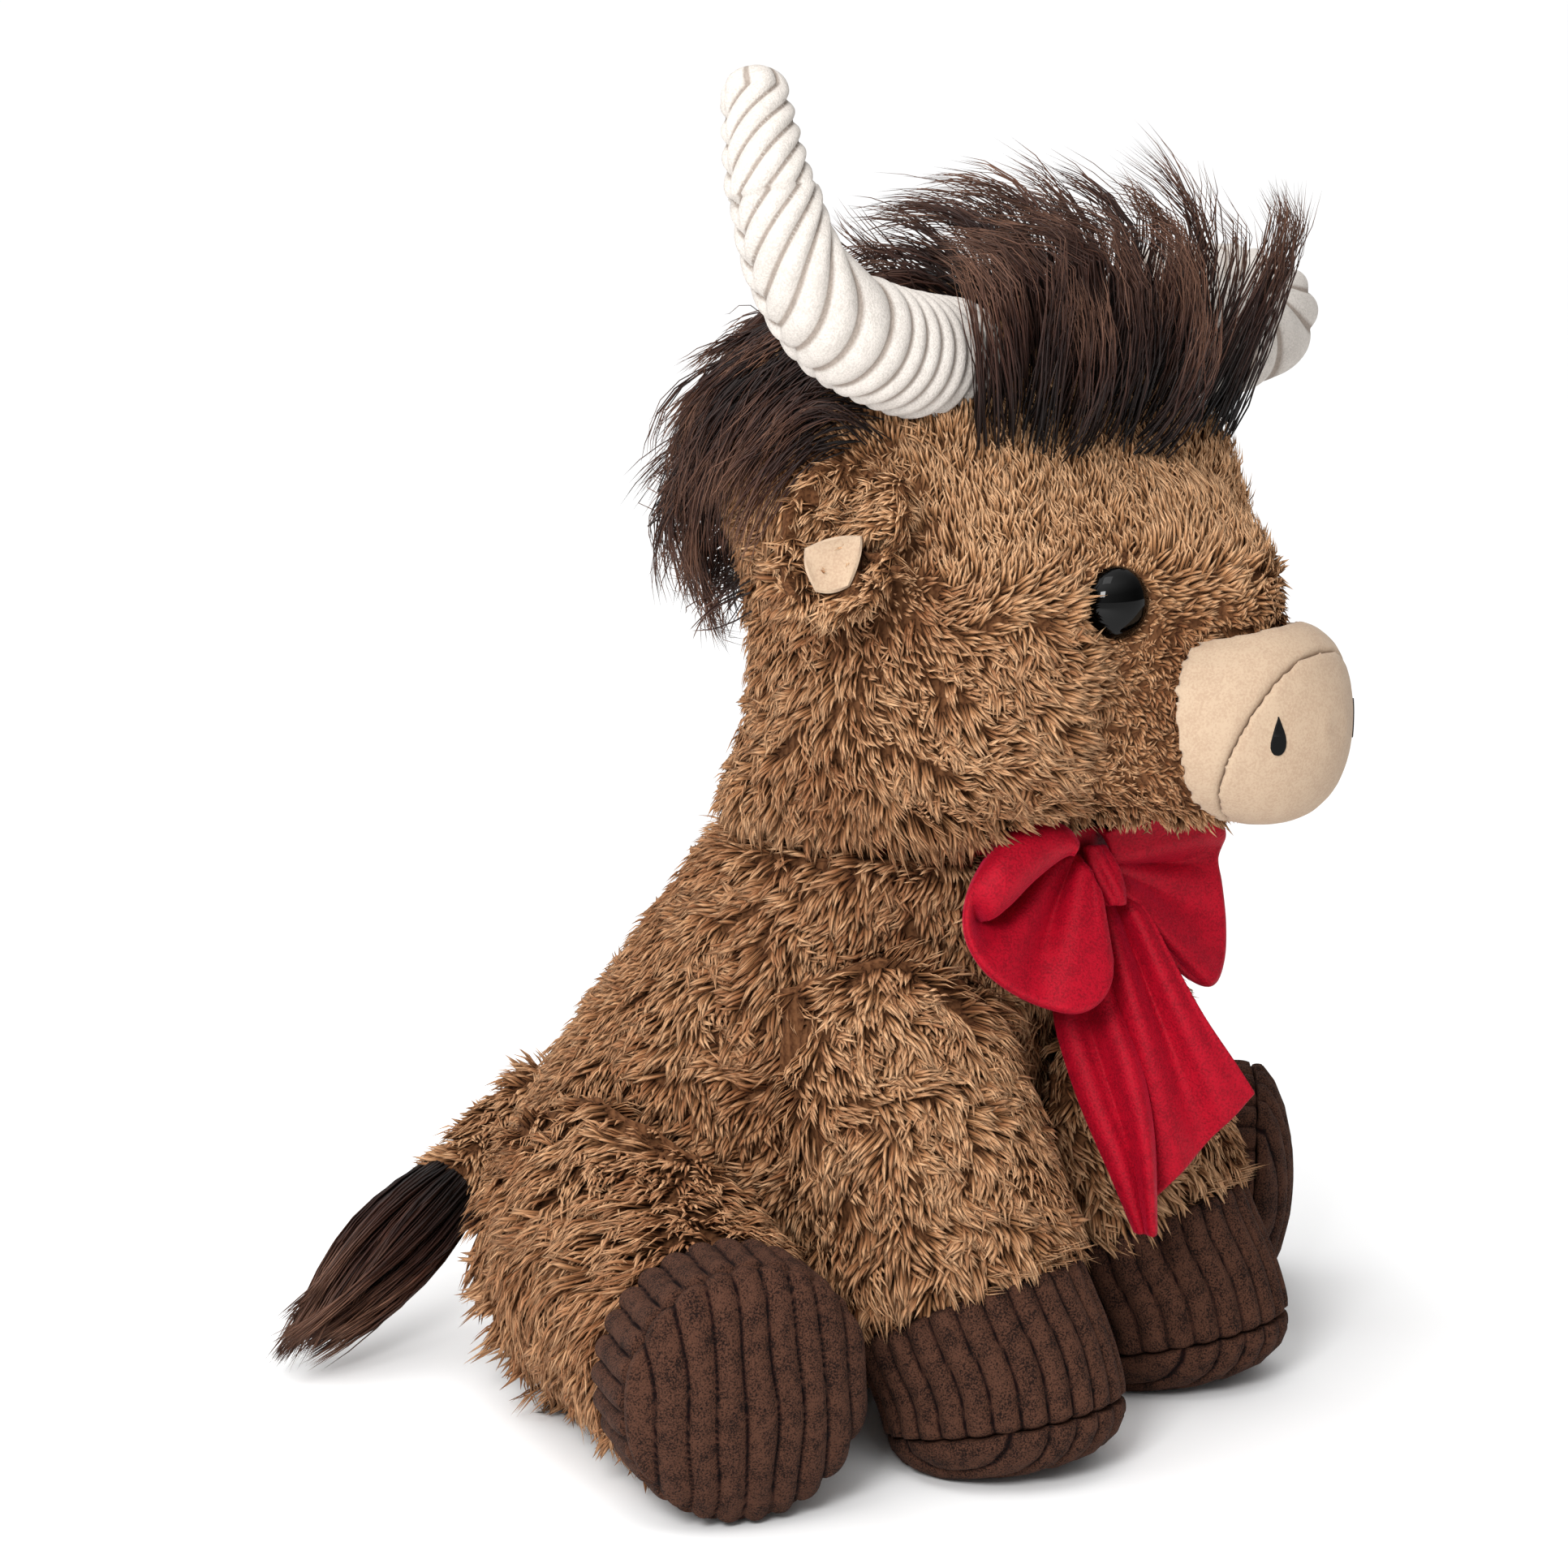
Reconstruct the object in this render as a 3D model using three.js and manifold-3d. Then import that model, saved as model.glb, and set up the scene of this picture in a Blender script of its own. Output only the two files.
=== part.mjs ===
// Seated plush cow with horns, a long-haired crown, corduroy hooves and a tied bow.
// Millimetres, +Z up. The cow faces -Y and its right side is on -X.
// The origin is on the floor, under the flat base of the torso.
// Every soft piece is the outline of its pile, stuffed solid.

import * as THREE from 'three';
import { mergeVertices } from 'three/addons/utils/BufferGeometryUtils.js';
import Module from 'manifold-3d';

const wasm = await Module();
wasm.setup();

// Clearances
const gap = 0.3;
const flatDepth = 0.5;
const overrun = 60;
const farAway = 900;

// Torso
const torsoHeight = 213;
const torsoWidth = 226;
const torsoDepth = 196;
const torsoSet = 12;
const torsoLean = 75;
const torsoRoundness = 2.15;
// height, lean, width and depth, from the base to the neck seam
const torsoShares = [
  [0.00, 0.00, 0.62, 0.68],
  [0.03, 0.02, 0.82, 0.85],
  [0.10, 0.05, 0.94, 0.94],
  [0.20, 0.09, 0.99, 0.99],
  [0.32, 0.14, 0.99, 1.00],
  [0.53, 0.29, 0.91, 0.94],
  [0.72, 0.58, 0.82, 0.85],
  [0.90, 0.82, 0.73, 0.75],
  [1.00, 1.00, 0.69, 0.69],
];

// Head, measured from the neck seam
const headHeight = 189;
const headWidth = 200;
const headDepth = 172;
const headForward = 41;
const headRoundness = 2.6;
// height, forward, width and depth, from the neck seam to the crown
const headShares = [
  [0.00, 0.00, 0.76, 0.80],
  [0.04, 0.30, 0.88, 0.90],
  [0.11, 0.68, 0.95, 0.97],
  [0.20, 0.94, 0.99, 1.00],
  [0.33, 1.00, 1.00, 1.00],
  [0.46, 0.88, 0.98, 0.99],
  [0.59, 0.62, 0.97, 0.95],
  [0.73, 0.39, 0.94, 0.87],
  [0.83, 0.29, 0.86, 0.76],
  [0.93, 0.24, 0.70, 0.60],
  [0.98, 0.24, 0.46, 0.40],
  [1.00, 0.24, 0.18, 0.15],
];

// Heights and depths of the face, horns, ears and crown are measured from the middle of the neck seam

// Fur cheeks round the muzzle and the nose bridge above them, swells of the head
const swellSet = 84;
const cheekReach = 60;
const cheekWidth = 116;
const cheekTall = 86;
const cheekLow = 1;
// reach, bottom, top and width, from inside the head outwards
const cheekShares = [
  [0.00, 0.00, 1.00, 1.00],
  [0.45, 0.02, 0.97, 0.98],
  [0.70, 0.05, 0.93, 0.90],
  [0.88, 0.12, 0.86, 0.70],
  [0.97, 0.25, 0.75, 0.45],
  [1.00, 0.40, 0.60, 0.20],
];
const bridgeReach = 62;
const bridgeWidth = 80;
const bridgeHeight = 90;
const bridgeLow = 49;
const bridgeShares = [
  [0.00, 0.00, 1.00, 1.00],
  [0.40, 0.02, 0.90, 0.92],
  [0.65, 0.06, 0.76, 0.76],
  [0.84, 0.13, 0.64, 0.58],
  [0.95, 0.22, 0.54, 0.38],
  [1.00, 0.32, 0.45, 0.16],
];

// Muzzle, a short velour dome
const muzzleWidth = 100;
const muzzleTall = 70;
const muzzleRise = 45;
const muzzleReach = 58;
const muzzleProud = 23;
const muzzleRoundness = 2.2;
const gussetTurnDeg = 21;
const gussetSet = 18;
// reach, width and height, from inside the head outwards
const muzzleShares = [
  [0.00, 0.97, 0.93],
  [0.30, 0.98, 1.00],
  [0.55, 0.88, 1.00],
  [0.72, 0.73, 0.96],
  [0.85, 0.55, 0.80],
  [0.94, 0.35, 0.55],
  [1.00, 0.14, 0.22],
];

// Nostrils, satin-stitched teardrops
const nostrilWide = 7;
const nostrilTall = 13.5;
const nostrilSpacing = 54;
const nostrilRaise = 1.6;

// Eyes, domes on a stem that a washer locks inside the head
const eyeRadius = 12;
const eyeBulge = 8.5;
const eyeRimDepth = 1.6;
const eyeSpacing = 92;
const eyeRise = 88;
const eyeForward = 107;
const eyeTurnDeg = 28;
const eyeHollow = 13;
const stemRadius = 2.6;
const stemLength = 16;
const washerRadius = 9;
const washerThick = 2.4;
const washerSetback = 6;
const washerPlay = 1.6;

// Horns, stuffed corduroy tubes with a rounded tip; right side listed, from the root
const hornRootRadius = 18.5;
const hornTipRadius = 9.5;
const rightHornRoute = [
  [-48, -44, 167], [-88, -46, 171], [-120, -43, 183], [-138, -39, 203], [-142, -33, 231], [-136, -23, 257],
];
const leftHornRoute = [
  [48, -44, 170], [86, -57, 166], [118, -66, 166], [140, -61, 174], [150, -39, 181], [150, -3, 183],
];

// Ears, cupped leaves of pile with a velour lining
const earLength = 58;
const earWidth = 46;
const earThick = 13;
const earCup = 9;
const earLiningShare = 0.74;
const earLiningThick = 1.8;
const earInset = 6;
const earForward = 41;
const earRise = 135;
const earSlope = [0.4, 0.13, -0.9];
const earFacing = [0.84, -0.45, 0.25];
const earSwingDeg = 20;

// Crown of long hair over the head
const crownRise = 221;
const crownSet = 13;
const crownForward = 36;
const crownWidth = 220;
const crownDepth = 204;
const crownHemThick = 8;
const crownLocks = 12;
const crownLockDrop = 8;
const crownFrontHem = 144;
const crownSideHem = 145;
const crownRearHem = 87;
// part of the way from the front to the rear: front, sides, behind the ears and rear
const crownHemShares = [0, 0.54, 0.8, 1];
// height above the rear hem, forward, width and depth
const crownShares = [
  [0.00, 0.40, 0.94, 0.83],
  [0.10, 0.17, 0.97, 0.94],
  [0.28, 0.00, 1.00, 1.00],
  [0.48, 0.28, 0.97, 0.96],
  [0.65, 0.67, 0.91, 0.86],
  [0.80, 0.78, 0.78, 0.74],
  [0.92, 0.86, 0.55, 0.53],
  [0.98, 0.94, 0.33, 0.31],
  [1.00, 1.00, 0.13, 0.12],
];

// Front legs; left side listed, from the shoulder to the floor
const frontLegRoute = [
  [54, -94, 170], [57, -110, 136], [59, -122, 104], [61, -139, 62], [62, -157, 24], [62.5, -162, -0.5],
];
const frontLegRadius = 49;
// radius at each point of the route
const frontLegShares = [0.76, 0.94, 1.00, 0.97, 0.90, 0.84];
const shoulder = [54, -96, 164];
const frontLegSwingDeg = 12;
const frontLegOutDeg = 32;

// Hind legs; left side listed, from the hip to the sole
const hindLegRoute = [
  [62, -12, 62], [90, -28, 61], [122, -60, 53], [152, -98, 46.5], [169, -121, 45.3], [178, -136, 45],
];
const hindLegRadius = 62;
const hindLegShares = [0.94, 1.00, 0.86, 0.75, 0.73, 0.72];

// Corduroy hooves, a band round the leg and a sole that closes it
const hoofRadius = 43;
const hindHoofRadius = 45.5;
const frontBandLength = 42;
const hindBandLength = 31;
const frontSoleDepth = 17;
const hindSoleDepth = 17;
// how far along the sole, and how wide it still is there
const frontSoleShares = [[0, 1.00], [0.35, 0.98], [0.75, 0.90], [1, 0.74]];
const hindSoleShares = [[0, 1.00], [0.22, 0.97], [0.5, 0.84], [0.75, 0.63], [0.92, 0.37], [1, 0.14]];

// Tail, a short stuffed stub that ends in a tuft of long hair
const tailRadius = 17;
const tailStubLength = 62;
const tailTuftLength = 100;
const tailTuftRadius = 19;
const tailHeight = 84;
const tailDroopDeg = 29;
const tailTrailDeg = 7;
const tailSwingDeg = 166;
// how far along the tuft, and how thick it is there
const tailTuftShares = [[0, 0.8], [0.15, 1.0], [0.4, 0.97], [0.65, 0.72], [0.85, 0.42], [1, 0.16]];

// Bow, one wide velour ribbon
const ribbonTall = 14;
const ribbonThick = 3.2;
const clothThick = 2.4;
const knotWide = 21;
const knotTall = 32;
const knotDeep = 19;
const knotDrop = 16;
const knotRoundness = 2.3;
const knotEndShare = 0.94;
const knotStandOff = 5;
const rightLoopReach = 60;
const leftLoopReach = 51;
const loopTall = 72;
const loopDrop = 10;
const loopPuff = 26;
const loopForward = 4;
const loopPleat = 2.2;
const loopPleats = 2;
const rightLoopSweepDeg = 20;
const leftLoopSweepDeg = -22;
const bowTailSwingDeg = 12;
const bowTailFold = 4;
const bowTailForward = 22;
const tailTopWide = 14.7;
const rightTailWide = 34;
const rightTailLength = 115;
const rightTailSlant = 0.33;
const leftTailWide = 55;
const leftTailLength = 106;
const leftTailSlant = 0.2;

// Colours
const pileBrown = 0x8a6238;
const hairBrown = 0x3c2722;
const corduroyBrown = 0x4a2f24;
const velourTan = 0xd6b88e;
const hornCream = 0xe9e2d2;
const bowRed = 0xc4101f;
const threadBlack = 0x111111;
const eyeBlack = 0x050505;
const washerWhite = 0xe8e8e2;

const cloth = (color) => new THREE.MeshStandardMaterial({ color, roughness: 0.9, metalness: 0 });
const pile = cloth(pileBrown);
const hair = cloth(hairBrown);
const corduroy = cloth(corduroyBrown);
const velour = cloth(velourTan);
const hornCloth = cloth(hornCream);
const bowCloth = cloth(bowRed);
const thread = cloth(threadBlack);
const eyeGloss = new THREE.MeshStandardMaterial({ color: eyeBlack, roughness: 0.12, metalness: 0 });
const washerPlastic = new THREE.MeshStandardMaterial({ color: washerWhite, roughness: 0.55, metalness: 0 });

const vector = (point) => new THREE.Vector3(...point);
const mirrored = (point, side) => new THREE.Vector3(side * point[0], point[1], point[2]);
const radians = THREE.MathUtils.degToRad;
const floorFlat = -flatDepth;
const neckCentre = -torsoSet - torsoLean;
// Point of the head, from its side, depth and height off the neck seam
const onHead = ([across, depth, rise]) => new THREE.Vector3(across, neckCentre + depth, torsoHeight + rise);

// Closed solid from rings of points, each end closed by a fan to its middle
function ringSolid(rings) {
  const count = rings[0].length;
  const points = rings.flat();
  const middles = [rings[0], rings.at(-1)].map((ring) => (
    ring.reduce((sum, point) => sum.add(point), new THREE.Vector3()).divideScalar(count)
  ));
  const first = points.push(middles[0]) - 1;
  const last = points.push(middles[1]) - 1;
  const faces = [];
  for (let ring = 0; ring < rings.length - 1; ring += 1) {
    for (let side = 0; side < count; side += 1) {
      const next = (side + 1) % count;
      const a = ring * count + side;
      const b = ring * count + next;
      faces.push(a, b, b + count, a, b + count, a + count);
    }
  }
  const top = (rings.length - 1) * count;
  for (let side = 0; side < count; side += 1) {
    const next = (side + 1) % count;
    faces.push(first, next, side);
    faces.push(last, top + side, top + next);
  }
  return orientedGeometry(points, faces);
}

// Geometry whose faces all point out, whatever way its rings ran
function orientedGeometry(points, faces) {
  let volume = 0;
  for (let face = 0; face < faces.length; face += 3) {
    const [a, b, c] = [points[faces[face]], points[faces[face + 1]], points[faces[face + 2]]];
    volume += a.dot(b.clone().cross(c));
  }
  const order = volume < 0 ? [...faces].reverse() : faces;
  const geometry = new THREE.BufferGeometry();
  geometry.setAttribute('position', new THREE.Float32BufferAttribute(points.flatMap((p) => p.toArray()), 3));
  geometry.setIndex(order);
  return geometry;
}

// Solids for cutting and joining, and back again
function solidOf(geometry) {
  const bare = geometry.clone();
  bare.deleteAttribute('normal');
  bare.deleteAttribute('uv');
  const merged = mergeVertices(bare);
  const vertProperties = new Float32Array(merged.getAttribute('position').array);
  const triVerts = new Uint32Array(merged.getIndex().array);
  return new wasm.Manifold(new wasm.Mesh({ numProp: 3, vertProperties, triVerts }));
}

function geometryOf(solid) {
  const mesh = solid.getMesh();
  const geometry = new THREE.BufferGeometry();
  geometry.setAttribute('position', new THREE.Float32BufferAttribute(mesh.vertProperties, 3));
  geometry.setIndex(Array.from(mesh.triVerts));
  return geometry;
}

// Smooth value between the rows of a table of shares, read at an even step
function smoothRows(rows, count) {
  const reading = [];
  for (let step = 0; step <= count; step += 1) {
    reading.push(smoothRow(rows, step / count));
  }
  return reading;
}

function smoothRow(rows, share) {
  const place = share * (rows.length - 1);
  const index = Math.min(Math.floor(place), rows.length - 2);
  const t = place - index;
  const row = (i) => rows[Math.min(Math.max(i, 0), rows.length - 1)];
  const [before, from, to, after] = [row(index - 1), row(index), row(index + 1), row(index + 2)];
  return from.map((value, column) => {
    const slopeIn = (to[column] - before[column]) / 2;
    const slopeOut = (after[column] - value) / 2;
    const rise = to[column] - value;
    return value + t * (slopeIn + t * (3 * rise - 2 * slopeIn - slopeOut + t * (slopeIn + slopeOut - 2 * rise)));
  });
}

// Ring of points of a rounded section in the plane of two axes
function sectionRing(centre, across, along, halfAcross, halfAlong, roundness, sides) {
  const power = 2 / roundness;
  const ring = [];
  for (let side = 0; side < sides; side += 1) {
    const angle = (2 * Math.PI * side) / sides;
    const cosine = Math.cos(angle);
    const sine = Math.sin(angle);
    const u = halfAcross * Math.sign(cosine) * Math.abs(cosine) ** power;
    const v = halfAlong * Math.sign(sine) * Math.abs(sine) ** power;
    ring.push(centre.clone().addScaledVector(across, u).addScaledVector(along, v));
  }
  return ring;
}

const axisX = new THREE.Vector3(1, 0, 0);
const axisY = new THREE.Vector3(0, 1, 0);
const axisZ = new THREE.Vector3(0, 0, 1);

// Torso and head are stacks of level sections that lean forward as they rise
const bodySides = 28;

function torsoForm(grow) {
  const rows = smoothRows(torsoShares, 12);
  return ringSolid(rows.map(([height, lean, width, depth], index) => {
    const ends = (index === rows.length - 1 ? grow : 0) - (index === 0 ? grow : 0);
    const centre = new THREE.Vector3(0, -torsoSet - torsoLean * lean, floorFlat + (torsoHeight - floorFlat) * height + ends);
    const halfWidth = (torsoWidth / 2) * width + grow;
    const halfDepth = (torsoDepth / 2) * depth + grow;
    return sectionRing(centre, axisX, axisY, halfWidth, halfDepth, torsoRoundness, bodySides);
  }));
}

function headSection(share) {
  const [height, forward, width, depth] = smoothRow(headShares, share);
  return {
    height: torsoHeight + gap + headHeight * height,
    centre: neckCentre - headForward * forward,
    halfWidth: (headWidth / 2) * width,
    halfDepth: (headDepth / 2) * depth,
  };
}

function headForm(grow) {
  const rings = [];
  const steps = 15;
  for (let step = 0; step <= steps; step += 1) {
    const section = headSection(step / steps);
    const ends = (step === steps ? grow : 0) - (step === 0 ? grow : 0);
    const centre = new THREE.Vector3(0, section.centre, section.height + ends);
    const halfWidth = section.halfWidth + grow;
    const halfDepth = section.halfDepth + grow;
    rings.push(sectionRing(centre, axisX, axisY, halfWidth, halfDepth, headRoundness, bodySides));
  }
  return ringSolid(rings);
}

const swellStart = neckCentre - swellSet;

function swellForm(shares, reachOut, low, tallness, widthness, grow) {
  return ringSolid(smoothRows(shares, 6).map(([reach, bottom, top, width]) => {
    const middle = torsoHeight + low + (tallness * (bottom + top)) / 2;
    const centre = new THREE.Vector3(0, swellStart - (reachOut + grow) * reach, middle);
    const halfWidth = (widthness / 2) * width + grow;
    const halfTall = (tallness * (top - bottom)) / 2 + grow;
    return sectionRing(centre, axisX, axisZ, halfWidth, halfTall, 2, 20);
  }));
}

const cheekForm = (grow) => swellForm(cheekShares, cheekReach, cheekLow, cheekTall, cheekWidth, grow);
const bridgeForm = (grow) => swellForm(bridgeShares, bridgeReach, bridgeLow, bridgeHeight, bridgeWidth, grow);

const muzzleStart = swellStart - cheekReach - muzzleProud + muzzleReach;
const muzzleMiddle = torsoHeight + muzzleRise;

function muzzleForm(grow) {
  const rows = smoothRows(muzzleShares, 9);
  return ringSolid(rows.map(([reach, width, tall]) => {
    const centre = new THREE.Vector3(0, muzzleStart - (muzzleReach + grow) * reach, muzzleMiddle);
    const halfWidth = (muzzleWidth / 2) * width + grow;
    const halfTall = (muzzleTall / 2) * tall + grow;
    return sectionRing(centre, axisX, axisZ, halfWidth, halfTall, muzzleRoundness, 28);
  }));
}

// Straight prism of a closed flat outline, along the axis of depth
function prism(outline, from, to) {
  const ring = (depth) => outline.map(([x, z]) => new THREE.Vector3(x, depth, z));
  return ringSolid([ring(from), ring(to)]);
}

function teardrop(centreX, centreZ) {
  const outline = [];
  const sides = 20;
  for (let side = 0; side < sides; side += 1) {
    const angle = (2 * Math.PI * side) / sides;
    const pinch = Math.sin(angle / 2) ** 1.5;
    outline.push([
      centreX + (nostrilWide / 2) * Math.sin(angle) * pinch,
      centreZ + (nostrilTall / 2) * Math.cos(angle),
    ]);
  }
  return outline;
}

// Round tube along a route, with its own radius at each point
function tubeForm({ route, radius, shares, from = 0, to = 1, steps = 12, sides = 24, grow = 0, extra = [] }) {
  const curve = new THREE.CatmullRomCurve3(route, false, 'centripetal');
  const ring = (share, radiusHere, shift) => {
    const along = curve.getTangentAt(Math.min(Math.max(share, 0), 1));
    const across = new THREE.Vector3().crossVectors(along, axisY).normalize();
    const other = new THREE.Vector3().crossVectors(along, across);
    const centre = curve.getPointAt(Math.min(Math.max(share, 0), 1)).addScaledVector(along, shift);
    return sectionRing(centre, across, other, radiusHere, radiusHere, 2, sides);
  };
  const rows = shares.map((value) => [value]);
  const rings = [];
  for (let step = 0; step <= steps; step += 1) {
    const share = from + ((to - from) * step) / steps;
    const ends = (step === steps ? grow : 0) - (step === 0 ? grow : 0);
    rings.push(ring(share, radius * smoothRow(rows, share)[0] + grow, ends));
  }
  extra.forEach(([shift, scale]) => rings.push(ring(to, radius * smoothRow(rows, to)[0] * scale + grow, shift)));
  return ringSolid(rings);
}

// Everything under the floor, to cut what rests on it flat
const underFloor = solidOf(new THREE.BoxGeometry(farAway, farAway, overrun).translate(0, 0, -overrun / 2));

// Piece with an obstacle cut out of it over the whole turn of its hinge
function cutOverSwing(piece, obstacle, pivot, axis, fromDeg, toDeg, steps) {
  let result = piece;
  for (let step = 0; step <= steps; step += 1) {
    const angle = radians(fromDeg + ((toDeg - fromDeg) * step) / steps);
    const turn = new THREE.Matrix4().makeTranslation(pivot)
      .multiply(new THREE.Matrix4().makeRotationAxis(axis, -angle))
      .multiply(new THREE.Matrix4().makeTranslation(pivot.clone().negate()));
    result = result.subtract(solidOf(obstacle.clone().applyMatrix4(turn)));
  }
  return result;
}

const cow = new THREE.Group();

// Group at a pivot, whose meshes are given in the frame of the whole cow
function groupAt(pivot) {
  const group = new THREE.Group();
  group.position.copy(pivot);
  cow.add(group);
  return group;
}

function addPiece(group, name, geometry, material) {
  const local = geometry.clone().translate(-group.position.x, -group.position.y, -group.position.z);
  local.computeVertexNormals();
  const mesh = new THREE.Mesh(local, material);
  mesh.name = name;
  group.add(mesh);
  return mesh;
}

const sides = [['right', -1], ['left', 1]];
const body = groupAt(new THREE.Vector3());

// Torso
const torso = solidOf(torsoForm(0)).subtract(underFloor);
addPiece(body, 'torso', geometryOf(torso), pile);
const torsoObstacle = torsoForm(gap);
const torsoSolid = solidOf(torsoObstacle);

// Eye sockets: the seat of the dome, the bore of the stem and the room of the washer
function eyeFrame(side) {
  const outward = new THREE.Vector3(side * Math.sin(radians(eyeTurnDeg)), -Math.cos(radians(eyeTurnDeg)), 0);
  return {
    position: onHead([(side * eyeSpacing) / 2, -eyeForward, eyeRise]),
    quaternion: new THREE.Quaternion().setFromUnitVectors(axisY, outward),
  };
}

function turned(profile, segments) {
  return new THREE.LatheGeometry(profile.map(([radius, along]) => new THREE.Vector2(radius, along)), segments);
}

function placedAt(geometry, { position, quaternion }) {
  return geometry.clone().applyQuaternion(quaternion).translate(position.x, position.y, position.z);
}

const stemBore = stemRadius + gap;
const washerFar = washerSetback + washerThick + gap;
const washerRoom = washerSetback - washerPlay;
const socket = turned([
  [0, -stemLength - gap],
  [stemBore, -stemLength - gap],
  [stemBore, -washerFar],
  [washerRadius + washerPlay, -washerFar],
  [washerRadius + washerPlay, -washerRoom],
  [stemBore, -washerRoom],
  [stemBore, -gap],
  [eyeRadius + gap, -gap],
  [eyeRadius + gap, eyeRimDepth],
  [eyeRadius + eyeHollow, eyeRimDepth + eyeHollow],
  [eyeRadius + eyeHollow, overrun],
  [0, overrun],
], 18);

const eyeball = turned([
  [0, -stemLength],
  [stemRadius, -stemLength],
  [stemRadius, 0],
  [eyeRadius, 0],
  [eyeRadius, eyeRimDepth],
  ...[0.2, 0.4, 0.6, 0.8].map((share) => {
    const angle = (share * Math.PI) / 2;
    return [eyeRadius * Math.cos(angle), eyeRimDepth + (eyeBulge - eyeRimDepth) * Math.sin(angle)];
  }),
  [0, eyeBulge],
], 20);

const washer = turned([
  [stemRadius + gap, -washerSetback - washerThick],
  [washerRadius, -washerSetback - washerThick],
  [washerRadius, -washerSetback],
  [stemRadius + gap, -washerSetback],
  [stemRadius + gap, -washerSetback - washerThick],
], 16);

// Head with its furry nose bridge, less the eye sockets
const sockets = sides.map(([, side]) => solidOf(placedAt(socket, eyeFrame(side))));
const headWhole = (grow) => solidOf(headForm(grow)).add(solidOf(cheekForm(grow))).add(solidOf(bridgeForm(grow)));
const headBlock = headWhole(0);
const headGrown = headWhole(gap);
const head = headBlock.subtract(sockets[0]).subtract(sockets[1]);
addPiece(body, 'head', geometryOf(head), pile);

sides.forEach(([word, side]) => {
  addPiece(body, `eye_${word}`, placedAt(eyeball, eyeFrame(side)), eyeGloss);
  addPiece(body, `eye_washer_${word}`, placedAt(washer, eyeFrame(side)), washerPlastic);
});

// Muzzle: a gusset sewn to the head and a front that closes it
const muzzle = solidOf(muzzleForm(0)).subtract(headGrown);
const seamTurn = new THREE.Matrix4().makeTranslation(0, muzzleStart - muzzleReach + gussetSet, muzzleMiddle)
  .multiply(new THREE.Matrix4().makeRotationX(radians(gussetTurnDeg)));
const slab = (spare) => solidOf(new THREE.BoxGeometry(farAway, overrun, farAway)
  .translate(0, overrun / 2 + spare, 0).applyMatrix4(seamTurn));
addPiece(body, 'muzzle_gusset', geometryOf(muzzle.intersect(slab(0))), velour);
addPiece(body, 'muzzle_front', geometryOf(muzzle.subtract(slab(-gap))), velour);

sides.forEach(([word, side]) => {
  const outline = teardrop((side * nostrilSpacing) / 2, muzzleMiddle);
  const post = solidOf(prism(outline, muzzleStart - muzzleReach / 2, muzzleStart - muzzleReach - overrun));
  const pad = post.intersect(solidOf(muzzleForm(nostrilRaise))).subtract(solidOf(muzzleForm(gap)));
  addPiece(body, `nostril_${word}`, geometryOf(pad), thread);
});

// Horns, each sewn to the head round its root
function hornForm(route, grow) {
  const tip = hornTipRadius;
  const taper = [1, 0.97, 0.9, 0.78, 0.66, tip / hornRootRadius];
  const dome = [0.35, 0.65, 0.88].map((share) => [tip * share, Math.sqrt(1 - share * share)]);
  return tubeForm({
    route: route.map(onHead), radius: hornRootRadius, shares: taper, steps: 11, sides: 16, grow, extra: dome,
  });
}

[['right', rightHornRoute], ['left', leftHornRoute]].forEach(([word, route]) => {
  const horn = solidOf(hornForm(route, 0)).subtract(headGrown);
  addPiece(body, `horn_${word}`, geometryOf(horn), hornCloth);
});

// Ears: a cupped leaf between two faces, with a thinner lining in the cup
function leafForm(frame, { length, width, thick, cup, lift, start }) {
  const rows = 8;
  const columns = 6;
  const outline = (share) => Math.sqrt(Math.max(1 - (2 * Math.abs(share - 0.45)) ** 2.6, 0)) * 0.82 + 0.18;
  const point = (row, column, face) => {
    const share = row / rows;
    const across = (2 * column) / columns - 1;
    const halfWidth = (width / 2) * outline(share);
    const plump = (thick / 2) * (1 - 0.6 * across * across);
    return frame.root.clone()
      .addScaledVector(frame.along, start + length * share)
      .addScaledVector(frame.across, halfWidth * across)
      .addScaledVector(frame.facing, cup * across * across + lift + face * plump);
  };
  const rings = [];
  for (let row = 0; row <= rows; row += 1) {
    const ring = [];
    for (let column = 0; column <= columns; column += 1) {
      ring.push(point(row, column, 1));
    }
    for (let column = columns; column >= 0; column -= 1) {
      ring.push(point(row, column, -1));
    }
    rings.push(ring);
  }
  return ringSolid(rings);
}

function earFrame(side) {
  const along = mirrored(earSlope, side).normalize();
  const across = new THREE.Vector3().crossVectors(mirrored(earFacing, side), along).normalize();
  const facing = new THREE.Vector3().crossVectors(along, across).normalize();
  const root = onHead([side * (headWidth / 2 - earInset), -earForward, earRise]);
  return { root, along, across, facing };
}

const headObstacle = geometryOf(headGrown);

sides.forEach(([word, side]) => {
  const frame = earFrame(side);
  const ear = groupAt(frame.root);
  const leaf = { length: earLength, width: earWidth, thick: earThick, cup: earCup, lift: 0, start: 0 };
  const lining = {
    length: earLength * earLiningShare,
    width: earWidth * earLiningShare,
    thick: earLiningThick,
    cup: earCup * earLiningShare * earLiningShare,
    lift: earThick / 2 + earLiningThick / 2 + gap,
    start: earLength * (1 - earLiningShare) / 2,
  };
  [['ear', leaf, pile], ['ear_lining', lining, velour]].forEach(([name, shape, material]) => {
    const swung = cutOverSwing(
      solidOf(leafForm(frame, shape)), headObstacle, frame.root, axisY, -earSwingDeg, earSwingDeg, 4,
    );
    addPiece(ear, `${name}_${word}`, geometryOf(swung), material);
  });
});

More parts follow.
